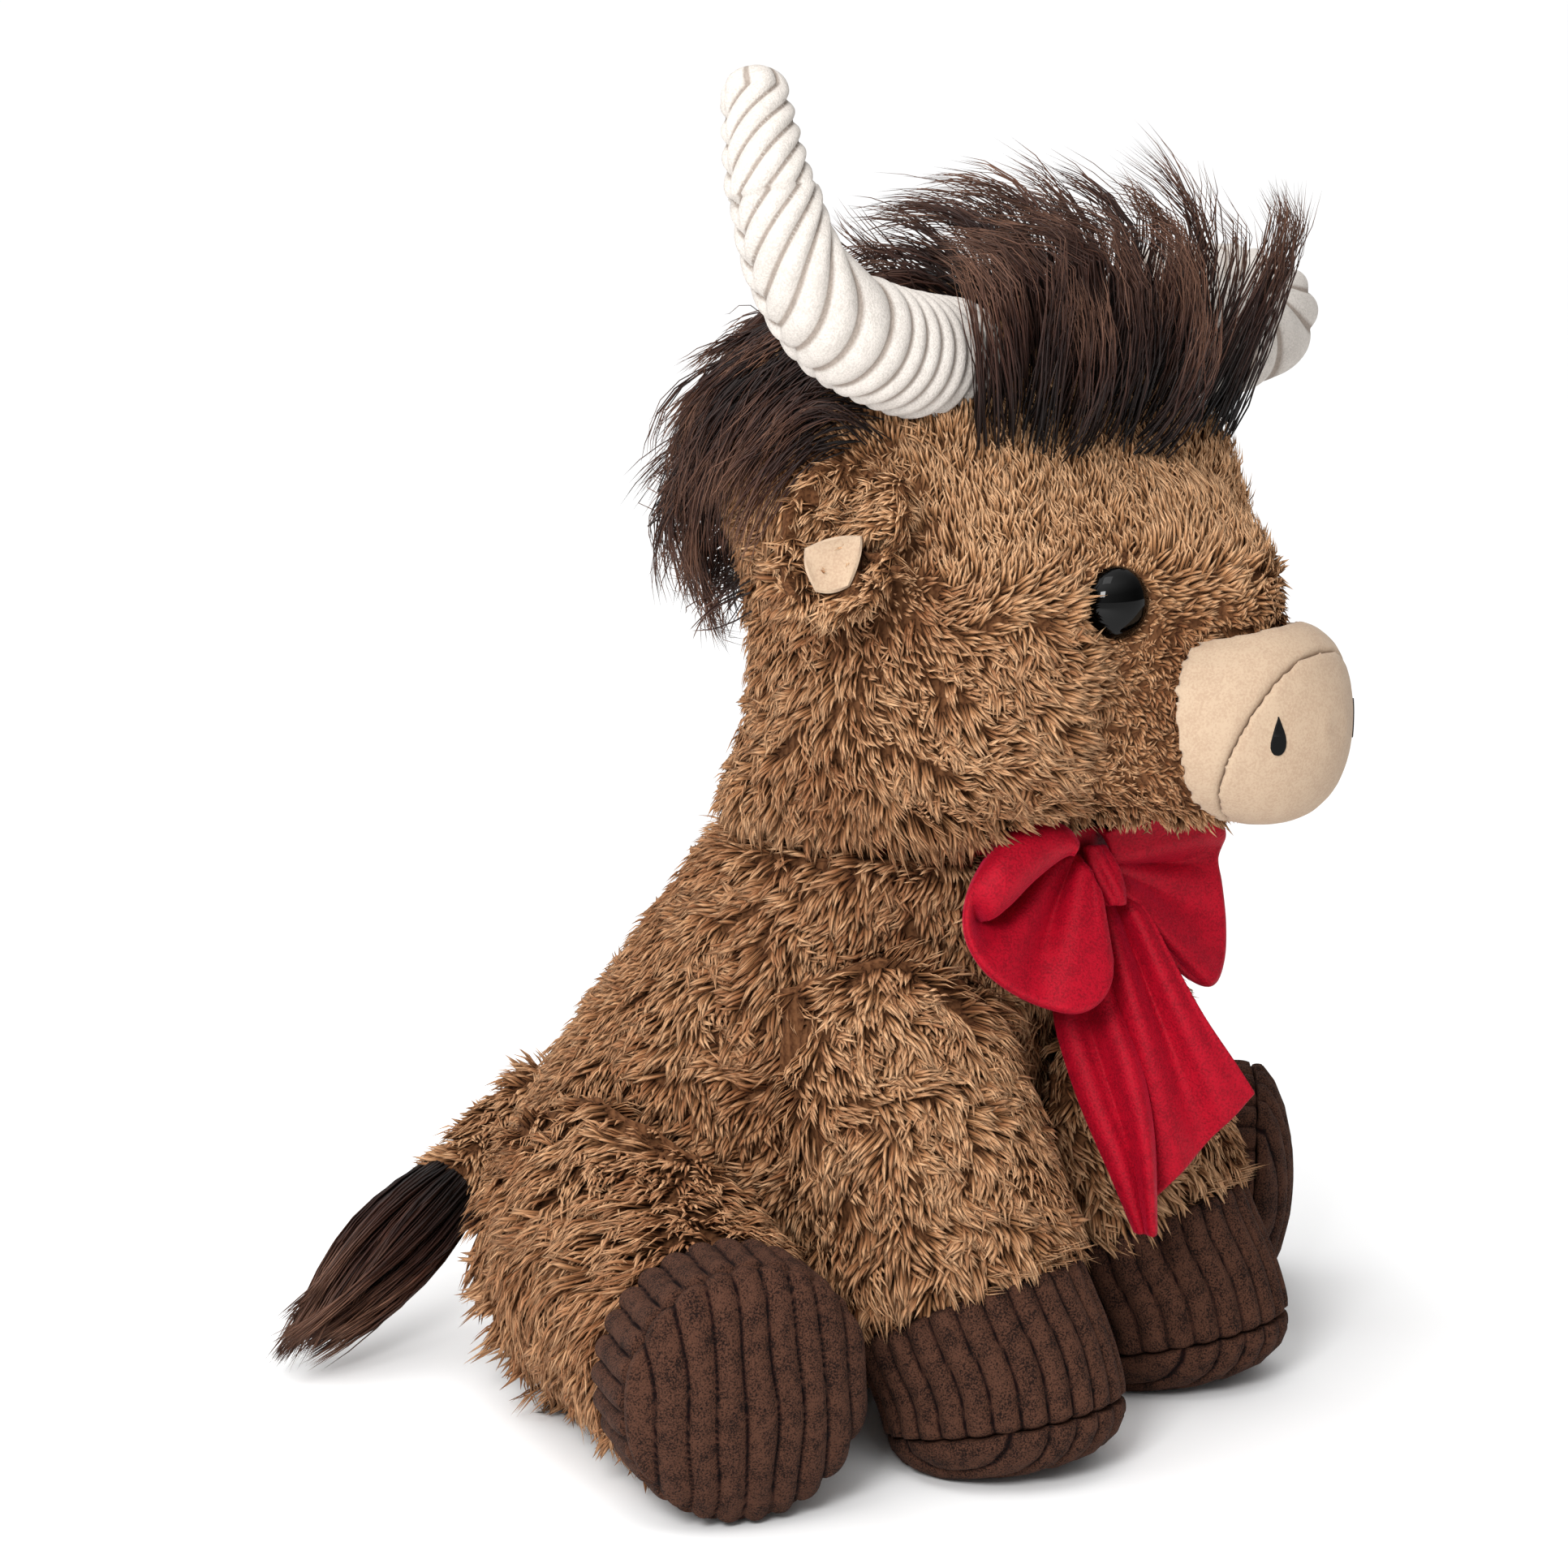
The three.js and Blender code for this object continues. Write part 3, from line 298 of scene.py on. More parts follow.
# Rayon stitching and moulded acrylic eyes
thread, _, _ = new_material(
    "black satin stitch", Base_Color=colour("#050505"), Roughness=0.6, Specular_IOR_Level=0.15,
)
eye_gloss, _, _ = new_material(
    "black moulded acrylic", Base_Color=colour("#010101"), Roughness=0.03, Specular_IOR_Level=0.2,
)
washer_white, _, _ = new_material("white polyethylene", Base_Color=colour("#e8e8e2"), Roughness=0.45)
print("finishes", len(bpy.data.materials))


# %% [markdown]
# ## Floor, light and camera
# A white studio: a very wide pale floor, which fills the picture's ground, under a soft dome that is
# brightest overhead and darker at the cow's front and left. A small lamp on its right is what the
# eye mirrors, and a soft one hangs above. The camera stands where the photographer stood.

# %% Studio
bpy.ops.object.select_all(action="DESELECT")
bpy.ops.mesh.primitive_plane_add(size=400, location=(0, 0, mm(-0.6)))
floor = bpy.context.object
floor.name = "floor"
floor.data.materials.append(new_material("white paper", Base_Color=colour("#f8f8f8"), Roughness=0.9)[0])

scene = bpy.context.scene
scene.view_settings.view_transform = "Standard"
world = bpy.data.worlds.new("white studio")
scene.world = world
world.use_nodes = True
sky = world.node_tree
direction = add_node(sky, "ShaderNodeTexCoord").outputs["Generated"]
height = add_node(sky, "ShaderNodeSeparateXYZ", {"Vector": direction})
dome = ramp(sky, height.outputs["Z"], (0.0, "#8c8c8c"), (0.3, "#9a9a9a"), (0.7, "#ffffff"))
south = add_node(sky, "ShaderNodeMath", {0: height.outputs["Y"]}, {1: 0.25, 2: 0.5}, operation="MULTIPLY_ADD")
west = add_node(
    sky, "ShaderNodeMath", {0: height.outputs["X"], 2: south.outputs[0]}, {1: -0.35}, operation="MULTIPLY_ADD",
)
shade = ramp(sky, west.outputs[0], (0.15, "#7a7a7a"), (0.75, "#ffffff"))
sky.links.new(multiply(sky, dome, shade), sky.nodes["Background"].inputs["Color"])
sky.nodes["Background"].inputs["Strength"].default_value = 2.1


def add_lamp(name, place, aim, size, power):
    """A square soft lamp at a place, turned to what it lights."""
    data = bpy.data.lights.new(name, "AREA")
    data.size, data.energy = size, power
    lamp = bpy.data.objects.new(name, data)
    lamp.location = place
    lamp.rotation_euler = (Vector(aim) - Vector(place)).to_track_quat("-Z", "Y").to_euler()
    scene.collection.objects.link(lamp)


add_lamp("key softbox", (-1.20, -0.53, 0.75), (0, -0.05, 0.25), 0.36, 13)
add_lamp("top softbox", (-0.9, -0.5, 2.1), (0, -0.12, 0.35), 0.9, 6)

aim = Vector((-0.005, -0.030, 0.217))
azimuth, elevation, distance = math.radians(-55), math.radians(10), 1.670
camera_data = bpy.data.cameras.new("camera")
camera_data.lens, camera_data.sensor_width = 105, 36
camera = bpy.data.objects.new("camera", camera_data)
camera.location = aim + distance * Vector((
    math.sin(azimuth) * math.cos(elevation), -math.cos(azimuth) * math.cos(elevation), math.sin(elevation),
))
camera.rotation_euler = (aim - camera.location).to_track_quat("-Z", "Y").to_euler()
scene.collection.objects.link(camera)
scene.camera = camera
print("camera", [round(v, 3) for v in camera.location])


# %% [markdown]
# ## Surfaces that follow a route
# Horns, hooves and ribbons are made from a flat grid of faces. Each point of the grid has a place
# across and a place along, both from 0 to 1, and a function says where on the piece that lies.
# This is how a flat cloth panel is wrapped into a tube, and ribs are raised in the same step.

# %% Grids, routes and ribs
def wrapped(name, across, along_count, place, closed=True):
    """A grid whose points go where place(u, v) puts them, merged where its edges meet.

    A place that also returns the height of its ribs gets them as an attribute, which the finish reads to paint shade
    in the grooves."""
    bpy.ops.object.select_all(action="DESELECT")
    bpy.ops.mesh.primitive_grid_add(x_subdivisions=across, y_subdivisions=along_count, size=1)
    piece = bpy.context.object
    piece.name = name
    flat = points_of(piece)
    placed = place(flat[:, 0] + 0.5, flat[:, 1] + 0.5)
    if isinstance(placed, tuple):
        placed, height = placed
        rib_values = piece.data.attributes.new("rib", "FLOAT", "POINT")
        rib_values.data.foreach_set("value", height.astype(np.float32))
    move_points(piece, placed)
    if closed:
        mend(piece, merge=2e-6)
    smooth_shading(piece)
    return piece


def spline(points, count=400):
    """Even points on a smooth curve through these, and the way it runs at each, centripetal as in the part."""
    points = [2 * points[0] - points[1], *points, 2 * points[-1] - points[-2]]
    fine = []
    for i in range(len(points) - 3):
        p = [np.array(q, float) for q in points[i:i + 4]]
        t = np.cumsum([0] + [np.linalg.norm(p[k + 1] - p[k]) ** 0.5 for k in range(3)])
        s = np.linspace(t[1], t[2], 80, endpoint=False)[:, None]
        a = [(t[k + 1] - s) / (t[k + 1] - t[k]) * p[k] + (s - t[k]) / (t[k + 1] - t[k]) * p[k + 1] for k in range(3)]
        b = [(t[k + 2] - s) / (t[k + 2] - t[k]) * a[k] + (s - t[k]) / (t[k + 2] - t[k]) * a[k + 1] for k in range(2)]
        fine.append((t[2] - s) / (t[2] - t[1]) * b[0] + (s - t[1]) / (t[2] - t[1]) * b[1])
    fine = np.concatenate([*fine, [np.array(points[-2], float)]])
    length = np.concatenate([[0], np.cumsum(np.linalg.norm(np.diff(fine, axis=0), axis=1))])
    even = np.linspace(0, length[-1], count)
    line = np.stack([np.interp(even, length, fine[:, k]) for k in range(3)], axis=1)
    return line, unit(np.gradient(line, axis=0)), length[-1]


def read(rows, share):
    """Values of a table at these shares of its length."""
    rows = np.asarray(rows, float)
    steps = np.linspace(0, 1, len(rows))
    if rows.ndim == 1:
        return np.interp(share, steps, rows)
    return np.stack([np.interp(share, steps, rows[:, k]) for k in range(rows.shape[1])], axis=-1)


def rib(count, flatness):
    """Height of a plush rib from 0 in its groove to 1, for a count that grows by one per rib."""
    return np.abs(np.sin(np.pi * count)) ** flatness


def ring_axes(way, guide=(0, 1, 0)):
    """Two ways square to a route, in whose plane a ring is drawn."""
    across = unit(np.cross(way, guide))
    return across, np.cross(way, across)


def on_ring(centre, axes, size, angle):
    """Points at this distance from a centre, turned round it by an angle."""
    return centre + axes[0] * (size * np.cos(angle))[:, None] + axes[1] * (size * np.sin(angle))[:, None]


# %% [markdown]
# ## Stuffed skins
# Under the pile lies a woven skin stuffed with fibrefill. Each skin is a copy of the CAD solid,
# remeshed into even faces and pulled in by the depth of its pile, so that the tips of the pile
# come back out to the solid's own surface.

# %% Skins
LEAN = mm([0.574, -0.819, 0.0])


def settled(points, node):
    """Legs as they come to rest when the toy sits: their ends lie a few millimetres further forward."""
    if "hind" in node:
        side = -1 if "right" in node else 1
        share = ease(side * points[:, 0], mm(85), mm(150))
        return points + LEAN * 7.0 * share[:, None]
    if node in ("front_leg_right", "front_hoof_band_right", "front_hoof_sole_right"):
        return points + LEAN * 4.0 * ease(-points[:, 2], mm(-150), mm(-50))[:, None]
    return points


# Centre, shift and reach in millimetres: a fuller brow and bridge, and a cheek that leaves the muzzle open
HEAD_SWELLS = [
    ((55, -172, 352), (6.0, -8.5, 0), 32), ((27, -226, 285), (6, -9, -4), 12), ((-57, -219, 255), (8, 17, 0), 20),
]


def swollen(points):
    """Points of the head moved where stuffing and pile make it fuller or flatter than the solid."""
    moved = points.copy()
    for centre, shift, reach in HEAD_SWELLS:
        away = np.linalg.norm(points - mm(centre), axis=1) / mm(reach)
        moved += mm(shift) * np.exp(-away ** 2)[:, None]
    return moved


eye_places = mm([(-46, -194, 301), (46, -194, 301)])
solids = {}


def solid_tree(node):
    """A search tree of a CAD node's faces, made once."""
    if node not in solids:
        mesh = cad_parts[node].data
        solids[node] = BVHTree.FromPolygons(
            [v.co for v in mesh.vertices], [list(p.vertices) for p in mesh.polygons], epsilon=0,
        )
    return solids[node]


def stuffed_skin(node, name, depth, voxel=4.0, rounds=4):
    """A skin under a CAD node's surface, with less room for the pile close to an eye."""
    piece = copy_of(node, name)
    modify(piece, "REMESH", mode="VOXEL", voxel_size=mm(voxel))
    modify(piece, "SMOOTH", factor=0.5, iterations=rounds)
    points = settled(points_of(piece), node)
    near = np.min([np.linalg.norm(points - eye, axis=1) for eye in eye_places], axis=0)
    inset = mm(depth) * (0.2 + 0.8 * ease(near, mm(13), mm(24)))
    points = points - normals_of(piece) * inset[:, None]
    move_points(piece, swollen(points) if node == "head" else points)
    modify(piece, "SMOOTH", factor=0.5, iterations=2)
    smooth_shading(piece)
    return piece


# %% [markdown]
# ## Pile
# Sherpa pile stands in small curled locks of a few strands. One strand is a bent, tapered spike of
# nine faces. Five make a lock, which is copied to thousands of places on the skin, combed along the
# cloth and ruffled at random, so that neighbours cross and leave dark gaps. Locks that another
# piece would hide aren't grown.

# %% Growing locks
STRAND_RINGS = np.array([0.0, 0.66])
STRAND_ROOT = mm(0.8)
HANG = np.array([0, 0, -2.2])


def tube(rings):
    """Faces, place along and place across of a spike with three sides and rings at these shares."""
    tip, faces = len(rings) * 3, []
    for a in range(tip):
        b = a + 1 if a % 3 < 2 else a - 2
        faces += [(a, a + 3, b + 3), (a, b + 3, b)] if a + 3 < tip else [(a, tip, b)]
    along = np.append(np.repeat(rings, 3), 1.0)
    side = np.append(np.tile([0.0, 0.5, 1.0], len(rings)), 0.5)
    return np.array(faces), along, side


def spikes(roots, ways, ups, length, height, width, sway):
    """Points, faces, place along the lock and place across it, for tapered spikes with three sides."""
    count, rings = len(roots), len(STRAND_RINGS)
    across = unit(np.cross(ups, ways))
    centres = []
    for share in (*STRAND_RINGS, 1.0):
        rise = 1 - (1 - share) ** 1.7
        centres.append(
            roots - ups * STRAND_ROOT + ups * (height * rise)[:, None] + ways * (length * share ** 1.25)[:, None]
            + across * (sway * share * share)[:, None]
        )
    points = np.empty((count, rings * 3 + 1, 3))
    for ring, share in enumerate(STRAND_RINGS):
        ahead = unit(centres[ring + 1] - centres[ring])
        lift = unit(np.cross(ahead, across))
        lift *= np.sign((lift * ups).sum(1, keepdims=True) + 1e-9)
        wide = width * (1 - 0.2 * share ** 2) * 0.5
        for corner, (a, b) in enumerate([(-1, -0.15), (0, 0.4), (1, -0.15)]):
            points[:, ring * 3 + corner] = centres[ring] + across * (a * wide)[:, None] + lift * (b * wide)[:, None]
    points[:, -1] = centres[-1]
    return points, *tube(STRAND_RINGS)


def mesh_of_spikes(name, parts, rng):
    """One mesh of many spikes, with the lock attribute and the fibre map that the finishes read."""
    all_points, all_faces, all_lock, all_uv = [], [], [], []
    start = 0
    for points, faces, along, side, length, patch in parts:
        count, each = points.shape[:2]
        all_points.append(points.reshape(-1, 3))
        all_faces.append((faces[None] + start + np.arange(count)[:, None, None] * each).reshape(-1, 3))
        # Shade of each lock at random, plus its patch, which on the pile also holds painted light and shade
        tint = np.clip(rng.normal(0.5, 0.22, count) + 0.36 * patch, 0, 1)
        lock = np.ones((count, each, 4))
        lock[:, :, 0], lock[:, :, 1] = along[None], tint[:, None]
        all_lock.append(lock.reshape(-1, 4))
        uv = np.empty((count, each, 2))
        uv[:, :, 0] = side[None] * 7 + rng.uniform(0, 400, count)[:, None]
        uv[:, :, 1] = along[None] * (length[:, None] * 1000 * 0.12) + rng.uniform(0, 400, count)[:, None]
        all_uv.append(uv.reshape(-1, 2))
        start += count * each
    points, faces = np.concatenate(all_points), np.concatenate(all_faces)
    points[:, 2] = np.maximum(points[:, 2], mm(0.3))
    mesh = bpy.data.meshes.new(name)
    mesh.vertices.add(len(points))
    mesh.vertices.foreach_set("co", points.astype(np.float32).ravel())
    mesh.loops.add(faces.size)
    mesh.loops.foreach_set("vertex_index", faces.astype(np.int32).ravel())
    mesh.polygons.add(len(faces))
    mesh.polygons.foreach_set("loop_start", np.arange(0, faces.size, 3, dtype=np.int32))
    mesh.polygons.foreach_set("use_smooth", np.ones(len(faces), bool))
    mesh.update(calc_edges=True)
    lock = mesh.attributes.new("lock", "FLOAT_COLOR", "POINT")
    lock.data.foreach_set("color", np.concatenate(all_lock).astype(np.float32).ravel())
    layer = mesh.uv_layers.new(name="fibre")
    layer.uv.foreach_set("vector", np.concatenate(all_uv)[faces.ravel()].astype(np.float32).ravel())
    piece = bpy.data.objects.new(name, mesh)
    scene.collection.objects.link(piece)
    return piece


def roots_on(skin, spacing, rng):
    """Even places on a skin, one per face corner of a remeshed copy, and the way each faces."""
    grid = bpy.data.objects.new("roots", skin.data.copy())
    scene.collection.objects.link(grid)
    modify(grid, "REMESH", mode="VOXEL", voxel_size=mm(spacing))
    points, normals = points_of(grid), normals_of(grid)
    bpy.data.objects.remove(grid)
    jitter = rng.normal(size=points.shape)
    jitter -= normals * (jitter * normals).sum(1, keepdims=True)
    return points + jitter * mm(spacing) * 0.3, normals


def uncovered(points, nodes, reach=0.0):
    """False for each point deeper in one of these CAD nodes than the reach, which may be negative."""
    keep = np.ones(len(points), bool)
    room = 0.001 + max(0, -reach)
    for node in nodes:
        tree = solid_tree(node)
        low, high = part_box(node)
        near = np.all((points > np.array(low) - room) & (points < np.array(high) + room), axis=1) & keep
        for i in np.flatnonzero(near):
            place, normal, _, distance = tree.find_nearest(Vector(points[i]))
            depth = distance if (Vector(points[i]) - place).dot(normal) < 0 else -distance
            keep[i] = depth <= reach
    return keep


def combed(points, normals, way, ruffle, size, seed, rng, loose=0.2):
    """Directions along the skin that follow a way, turned by a smooth ruffle and a little at random."""
    way = way - normals * (way * normals).sum(1, keepdims=True)
    way = unit(way)
    side = np.cross(normals, way)
    angle = ruffle * waves(points, mm(size), seed) + 0.5 * ruffle * waves(points, mm(size * 0.45), seed + 1)
    angle = angle + rng.normal(0, loose, len(points))
    return unit(way * np.cos(angle)[:, None] + side * np.sin(angle)[:, None])


def grow_pile(
    skin, way_at, hidden_by, seed, spacing=4.65, depth=7.0, length=12.0, width=5.0, ruffle=0.75, pale=0.0,
    keep_at=None, calm_at=None, short_at=None, hang_at=None,
):
    """The pile of one skin: locks of five strands each.

    Locks grow where keep_at is true. Where calm_at is near 1 they are fine, even and painted paler as
    lit; short_at makes them shorter, hang_at lets them hang down, and pale paints light and shade."""
    rng = np.random.default_rng(seed)
    spacing = spacing * 1
    points, normals = roots_on(skin, spacing, rng)
    keep = uncovered(points + normals * mm(depth * 0.7), hidden_by, mm(4.0))
    keep &= points[:, 2] + normals[:, 2] * mm(depth) > mm(0.5)
    keep &= (normals[:, 2] > -0.7) | (points[:, 2] > mm(25))
    if keep_at is not None:
        keep &= keep_at(points, normals)
    points, normals = points[keep], normals[keep]
    count = len(points)
    calm = np.zeros(count) if calm_at is None else calm_at(points)
    ways = combed(points, normals, way_at(points, normals), ruffle * (1 - 0.65 * calm), 26, seed, rng)
    if callable(pale):
        pale = pale(points)
    if hang_at is not None:
        ways = unit(ways + hang_at(points, normals)[:, None] * HANG)
    # Tone of each lock: smooth random patches, plus painted light: paler where calm, and pale's light and shade
    patch = waves(points, mm(45), seed + 7) * 0.5 + waves(points, mm(14), seed + 8) * 0.4 + 1.5 * calm + pale
    swell = 1 + 0.18 * waves(points, mm(18), seed + 5)
    near = np.min([np.linalg.norm(points - eye, axis=1) for eye in eye_places], axis=0)
    short = (0.5 + 0.5 * ease(near, mm(14), mm(26))) * (1 - 0.1 * calm)
    if short_at is not None:
        short = short * short_at(points)
    parts = []
    long = mm(length) * swell * short * rng.uniform(0.75, 1.25, count)
    tall = mm(depth) * short * np.clip(rng.normal(0.85, 0.2, count), 0.4, 1.25)
    sway = rng.normal(0, mm(2.4), count)
    side = np.cross(normals, ways)
    for offset in ((-1.0, -0.5, 0.0, 0.5, 1.0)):
        apart = offset * mm(width) * (0.46 + 0.25 * calm) + rng.normal(0, mm(0.35), count)
        start = points + side * apart[:, None] + ways * (rng.normal(0, 1.3, count) * mm(1))[:, None]
        lean = -offset * mm(width) * 0.12 + rng.normal(0, mm(0.8), count)
        each = long * rng.uniform(0.75, 1.12, count) * (1 - 0.18 * offset ** 2)
        high = tall * (1 - 0.22 * offset ** 2) * rng.uniform(0.9, 1.1, count)
        wide = mm(width) * rng.uniform(0.28, 0.42, count) * 1 * (1 - 0.2 * calm)
        parts.append((*spikes(start, ways, normals, each, high, wide, sway + lean), each, patch))
    return mesh_of_spikes(skin.name + " locks", parts, rng)


def skin_painted_shade(piece):
    """The lock attribute and fibre map of a bare skin, so that it shows the dark root colour of the pile as painted
    shade.
    """
    lock = piece.data.attributes.new("lock", "FLOAT_COLOR", "POINT")
    values = np.tile([0.2, 0.5, 0, 1], (len(piece.data.vertices), 1))
    lock.data.foreach_set("color", values.astype(np.float32).ravel())
    piece.data.uv_layers.new(name="fibre")


def furred(node, name, body, way_at, hidden_by, seed, depth=7.0, voxel=4.0, **growth):
    """A stuffed skin with its pile, standing for one CAD node."""
    skin = stuffed_skin(node, name, depth, voxel)
    locks = grow_pile(skin, way_at, hidden_by, seed, depth=depth, **growth)
    skin_painted_shade(skin)
    pick(skin, locks)
    bpy.ops.object.join()
    finish_piece(skin, body, "pile", pile, node)
    print(name, len(skin.data.polygons), "faces")


# %% [markdown]
# ## Torso and legs
# A stuffed body has no skeleton: the torso sits on its filling and the legs are sleeves sewn to it.
# Gravity combs the pile, so one direction for each piece is enough, mostly downwards.

# %% Torso and legs
def along(*way):
    """The same way everywhere."""
    return lambda points, normals: np.tile(np.array(way, float), (len(points), 1))


def long_low(points):
    """Longer pile at the end of a leg, where it hangs over the hoof."""
    return 1 + 0.4 * np.maximum(ease(-points[:, 2], mm(-92), mm(-66)), ease(np.abs(points[:, 0]), mm(112), mm(135)))


# pale: the torso and the hind legs are painted darker and the front legs paler, as the light falls on them
furred(
    "torso", "torso_pile", "cow", along(0, 0.45, -1),
    ["head", "front_leg_right", "front_leg_left", "hind_leg_right", "hind_leg_left"], 11, pale=-0.25,
)
for word, side in SIDES:
    furred(
        f"front_leg_{word}", f"front_leg_{word}_pile", f"front_leg_{word}_body", along(side * 0.05, -0.62, -1),
        ["torso", f"front_hoof_band_{word}", f"hind_leg_{word}"], 21 + side, length=12.5, short_at=long_low,
        pale=0.35,
    )
    furred(
        f"hind_leg_{word}", f"hind_leg_{word}_pile", "cow", along(side * 0.3, 0.15, -1),
        ["torso", f"hind_hoof_band_{word}", f"front_leg_{word}"], 31 + side, short_at=long_low, pale=-0.6,
    )


# %% [markdown]
# ## Head
# A face is read by the way its fur lies, so here the direction changes from place to place. Small
# functions of position also say where the pile is short, calm or hanging, and where light and shade
# are painted on it, because painting such maps by hand would be lost with every change of the solid.

# %% Head
MUZZLE = mm([0, -215, 258])


def head_way(points, normals):
    """Up on the forehead, forward below it, towards the muzzle on the cheeks and down under the chin."""
    muzzle = mm([0, -236, 250])
    cheek = unit(muzzle - points) + np.array([0, -0.1, -0.45])
    brow = np.tile([0.0, 0.15, 1.0], (len(points), 1))
    nape = np.tile([0.0, 0.3, -1.0], (len(points), 1))
    up = ease(points[:, 2], mm(282), mm(318))[:, None]
    back = ease(points[:, 1], mm(-130), mm(-95))[:, None]
    temple = np.sign(points[:, :1]) * [-0.3, 0, 0] + [0, -0.9, 0.2]
    front = cheek * (1 - up) + brow * up + temple * 3.2 * up * (1 - up)
    return front * (1 - back) + nape * back


def forehead(points):
    """1 on the forehead, where the pile is fine and even, and painted paler as lit."""
    return ease(points[:, 2], mm(285), mm(320)) * ease(-points[:, 1], mm(95), mm(130))


def by_ear(points):
    """Distance from the middle of the nearer ear."""
    return np.linalg.norm(np.abs(points) - mm([104, 124, 322]), axis=1)


def by_loop(points):
    """0 where the bow's right loop lies against the jaw, and 1 further off."""
    return ease(np.linalg.norm(points - mm([-40, -151, 215]), axis=1), mm(15), mm(28))


def trimmed(points):
    """Shorter pile round the muzzle's seam, under the ears and behind the loop, and longer on the nose."""
    muzzle = np.linalg.norm((points - MUZZLE) * [1, 0.55, 1.3], axis=1)
    short = (0.45 + 0.55 * ease(muzzle, mm(54), mm(70))) * (0.5 + 0.5 * ease(by_ear(points), mm(24), mm(36)))
    bridge = ease(-points[:, 1], mm(188), mm(204)) * ease(-np.abs(points[:, 0]), mm(-40), mm(-25))
    bridge = bridge * ease(points[:, 2], mm(280), mm(292))
    return short * (0.35 + 0.65 * by_loop(points)) * (1 + 0.25 * bridge)


def round_ears(points, normals):
    """False close to an ear, so that a dark gap sets it off."""
    return uncovered(points, ["ear_right", "ear_left"], mm(-5))


def head_painted_light(points):
    """Painted light and shade: paler than the body on the forehead, as lit, and darker round an ear, as a painted
    shadow.
    """
    return 0.1 + 0.5 * forehead(points) - 1.3 * (1 - ease(by_ear(points), mm(30), mm(48)))


def chin(points, normals):
    """1 along the lower edge of the head, where the pile hangs over the neck."""
    return ease(-points[:, 2], mm(-232), mm(-219)) * ease(-normals[:, 2], -0.5, 0.3) * by_loop(points)


furred(
    "head", "head_pile", "cow", head_way,
    ["torso", "hair_crown", "muzzle_gusset", "horn_right", "horn_left"], 41, length=10.5, spacing=4.25, width=4.4,
    calm_at=forehead, short_at=trimmed, hang_at=chin, keep_at=round_ears, pale=head_painted_light,
)

# %% [markdown]
# ## Ears and tail
# An ear is one leaf of pile folded at its root, so that a small patch of its lining shows in front.
# The lining is a sheet of its own, laid in the fold, and no pile is grown over it.

# %% Ears and tail stub
def ear_axes(side):
    """Middle of the lining on an ear's front, the ways across and along it, and the way it faces."""
    facing = unit(np.array([side * 0.84, -0.45, 0.25]))
    down = np.array([side * 0.4, 0.13, -0.9])
    down = unit(down - facing * (down @ facing))
    return mm([side * 114.5, -125.5, 316]), np.cross(facing, down) * -side, down, facing


def ear_lining(word, side):
    """The small patch of lining that shows in the ear's fold: four corners, and edges raised round a hollow."""
    centre, across, down, facing = ear_axes(side)
    corners = np.array([(-11, -2, 1.5), (8.5, -13.5, 3.5), (9.5, 6, 1.0), (-1.0, 11.5, 2.0)])

    def place(u, v):
        s, t = u[:, None] * 2 - 1, v[:, None] * 2 - 1
        u, v = (1 + s * (1 - 0.13 * t * t)) / 2, (1 + t * (1 - 0.13 * s * s)) / 2
        rows = (1 - v) * ((1 - u) * corners[0] + u * corners[1]) + v * ((1 - u) * corners[3] + u * corners[2])
        dish = 3.6 * (u * (1 - u) * v * (1 - v) * 16) ** 0.7 - 4.4
        return centre + mm(1) * (rows[:, :1] * across + rows[:, 1:2] * down + (rows[:, 2:] - dish) * facing)

    lining = wrapped(f"ear_lining_{word}_cloth", 20, 20, place, closed=False)
    modify(lining, "SOLIDIFY", thickness=mm(1.2), offset=0.0)
    smooth_shading(lining, 60)
    finish_piece(lining, f"ear_{word}_body", "velour", velour_tan, f"ear_lining_{word}")


for word, side in SIDES:
    centre, across, down, facing = ear_axes(side)

    def outside_lining(points, normals, centre=centre, across=across, down=down, facing=facing):
        """False on the lining and on the fold beside it, where the bare skin shows its painted shade."""
        away = (points - centre) / mm(1)
        right, low = away @ across, away @ down
        inside = (right > -7) & (right < 12) & (low > -5 - right * 0.4) & (low < 8)
        return ~inside | (normals @ facing < 0.2)

    # pale: the ear's pile is painted paler, as light on the ear where it stands out from the head
    furred(
        f"ear_{word}", f"ear_{word}_pile", f"ear_{word}_body", along(side * 0.4, 0.13, -0.9),
        ["hair_crown"], 51 + side, depth=4.0, voxel=2.5, length=9.0, spacing=3.2, width=3.6,
        keep_at=outside_lining, pale=1.5,
    )
    ear_lining(word, side)
furred("tail_stub", "tail_stub_pile", "tail_body", along(-1, 0.1, -0.5), ["torso", "tail_tuft"], 61)

# %% [markdown]
# ## Horns
# Each horn is a tube of cream corduroy in two panels, stuffed hard. Its ribs run round it at the
# root and rise slanting towards the tip, where they meet in a row of arrows at the panel seam.
# The ribs are real faces here, because they show on the outline.

# %% Horns
# Width of a rib at the root, and the share by which it has grown at the tip
HORN_PITCH, HORN_GROWTH = mm(6.6), 0.45
HORN_RADII = mm([20.5, 21.5, 20.3, 17.2, 14.8, 11.4])
horn_routes = {
    "right": [(-40, -130, 379), (-48, -131, 380), (-88, -133, 384), (-120, -130, 396), (-138, -126, 416),
              (-142, -120, 444), (-136, -110, 470)],
    "left": [(40, -128, 384), (48, -131, 383), (86, -144, 379), (118, -153, 379), (140, -148, 387),
             (150, -126, 394), (150, -90, 396)],
}


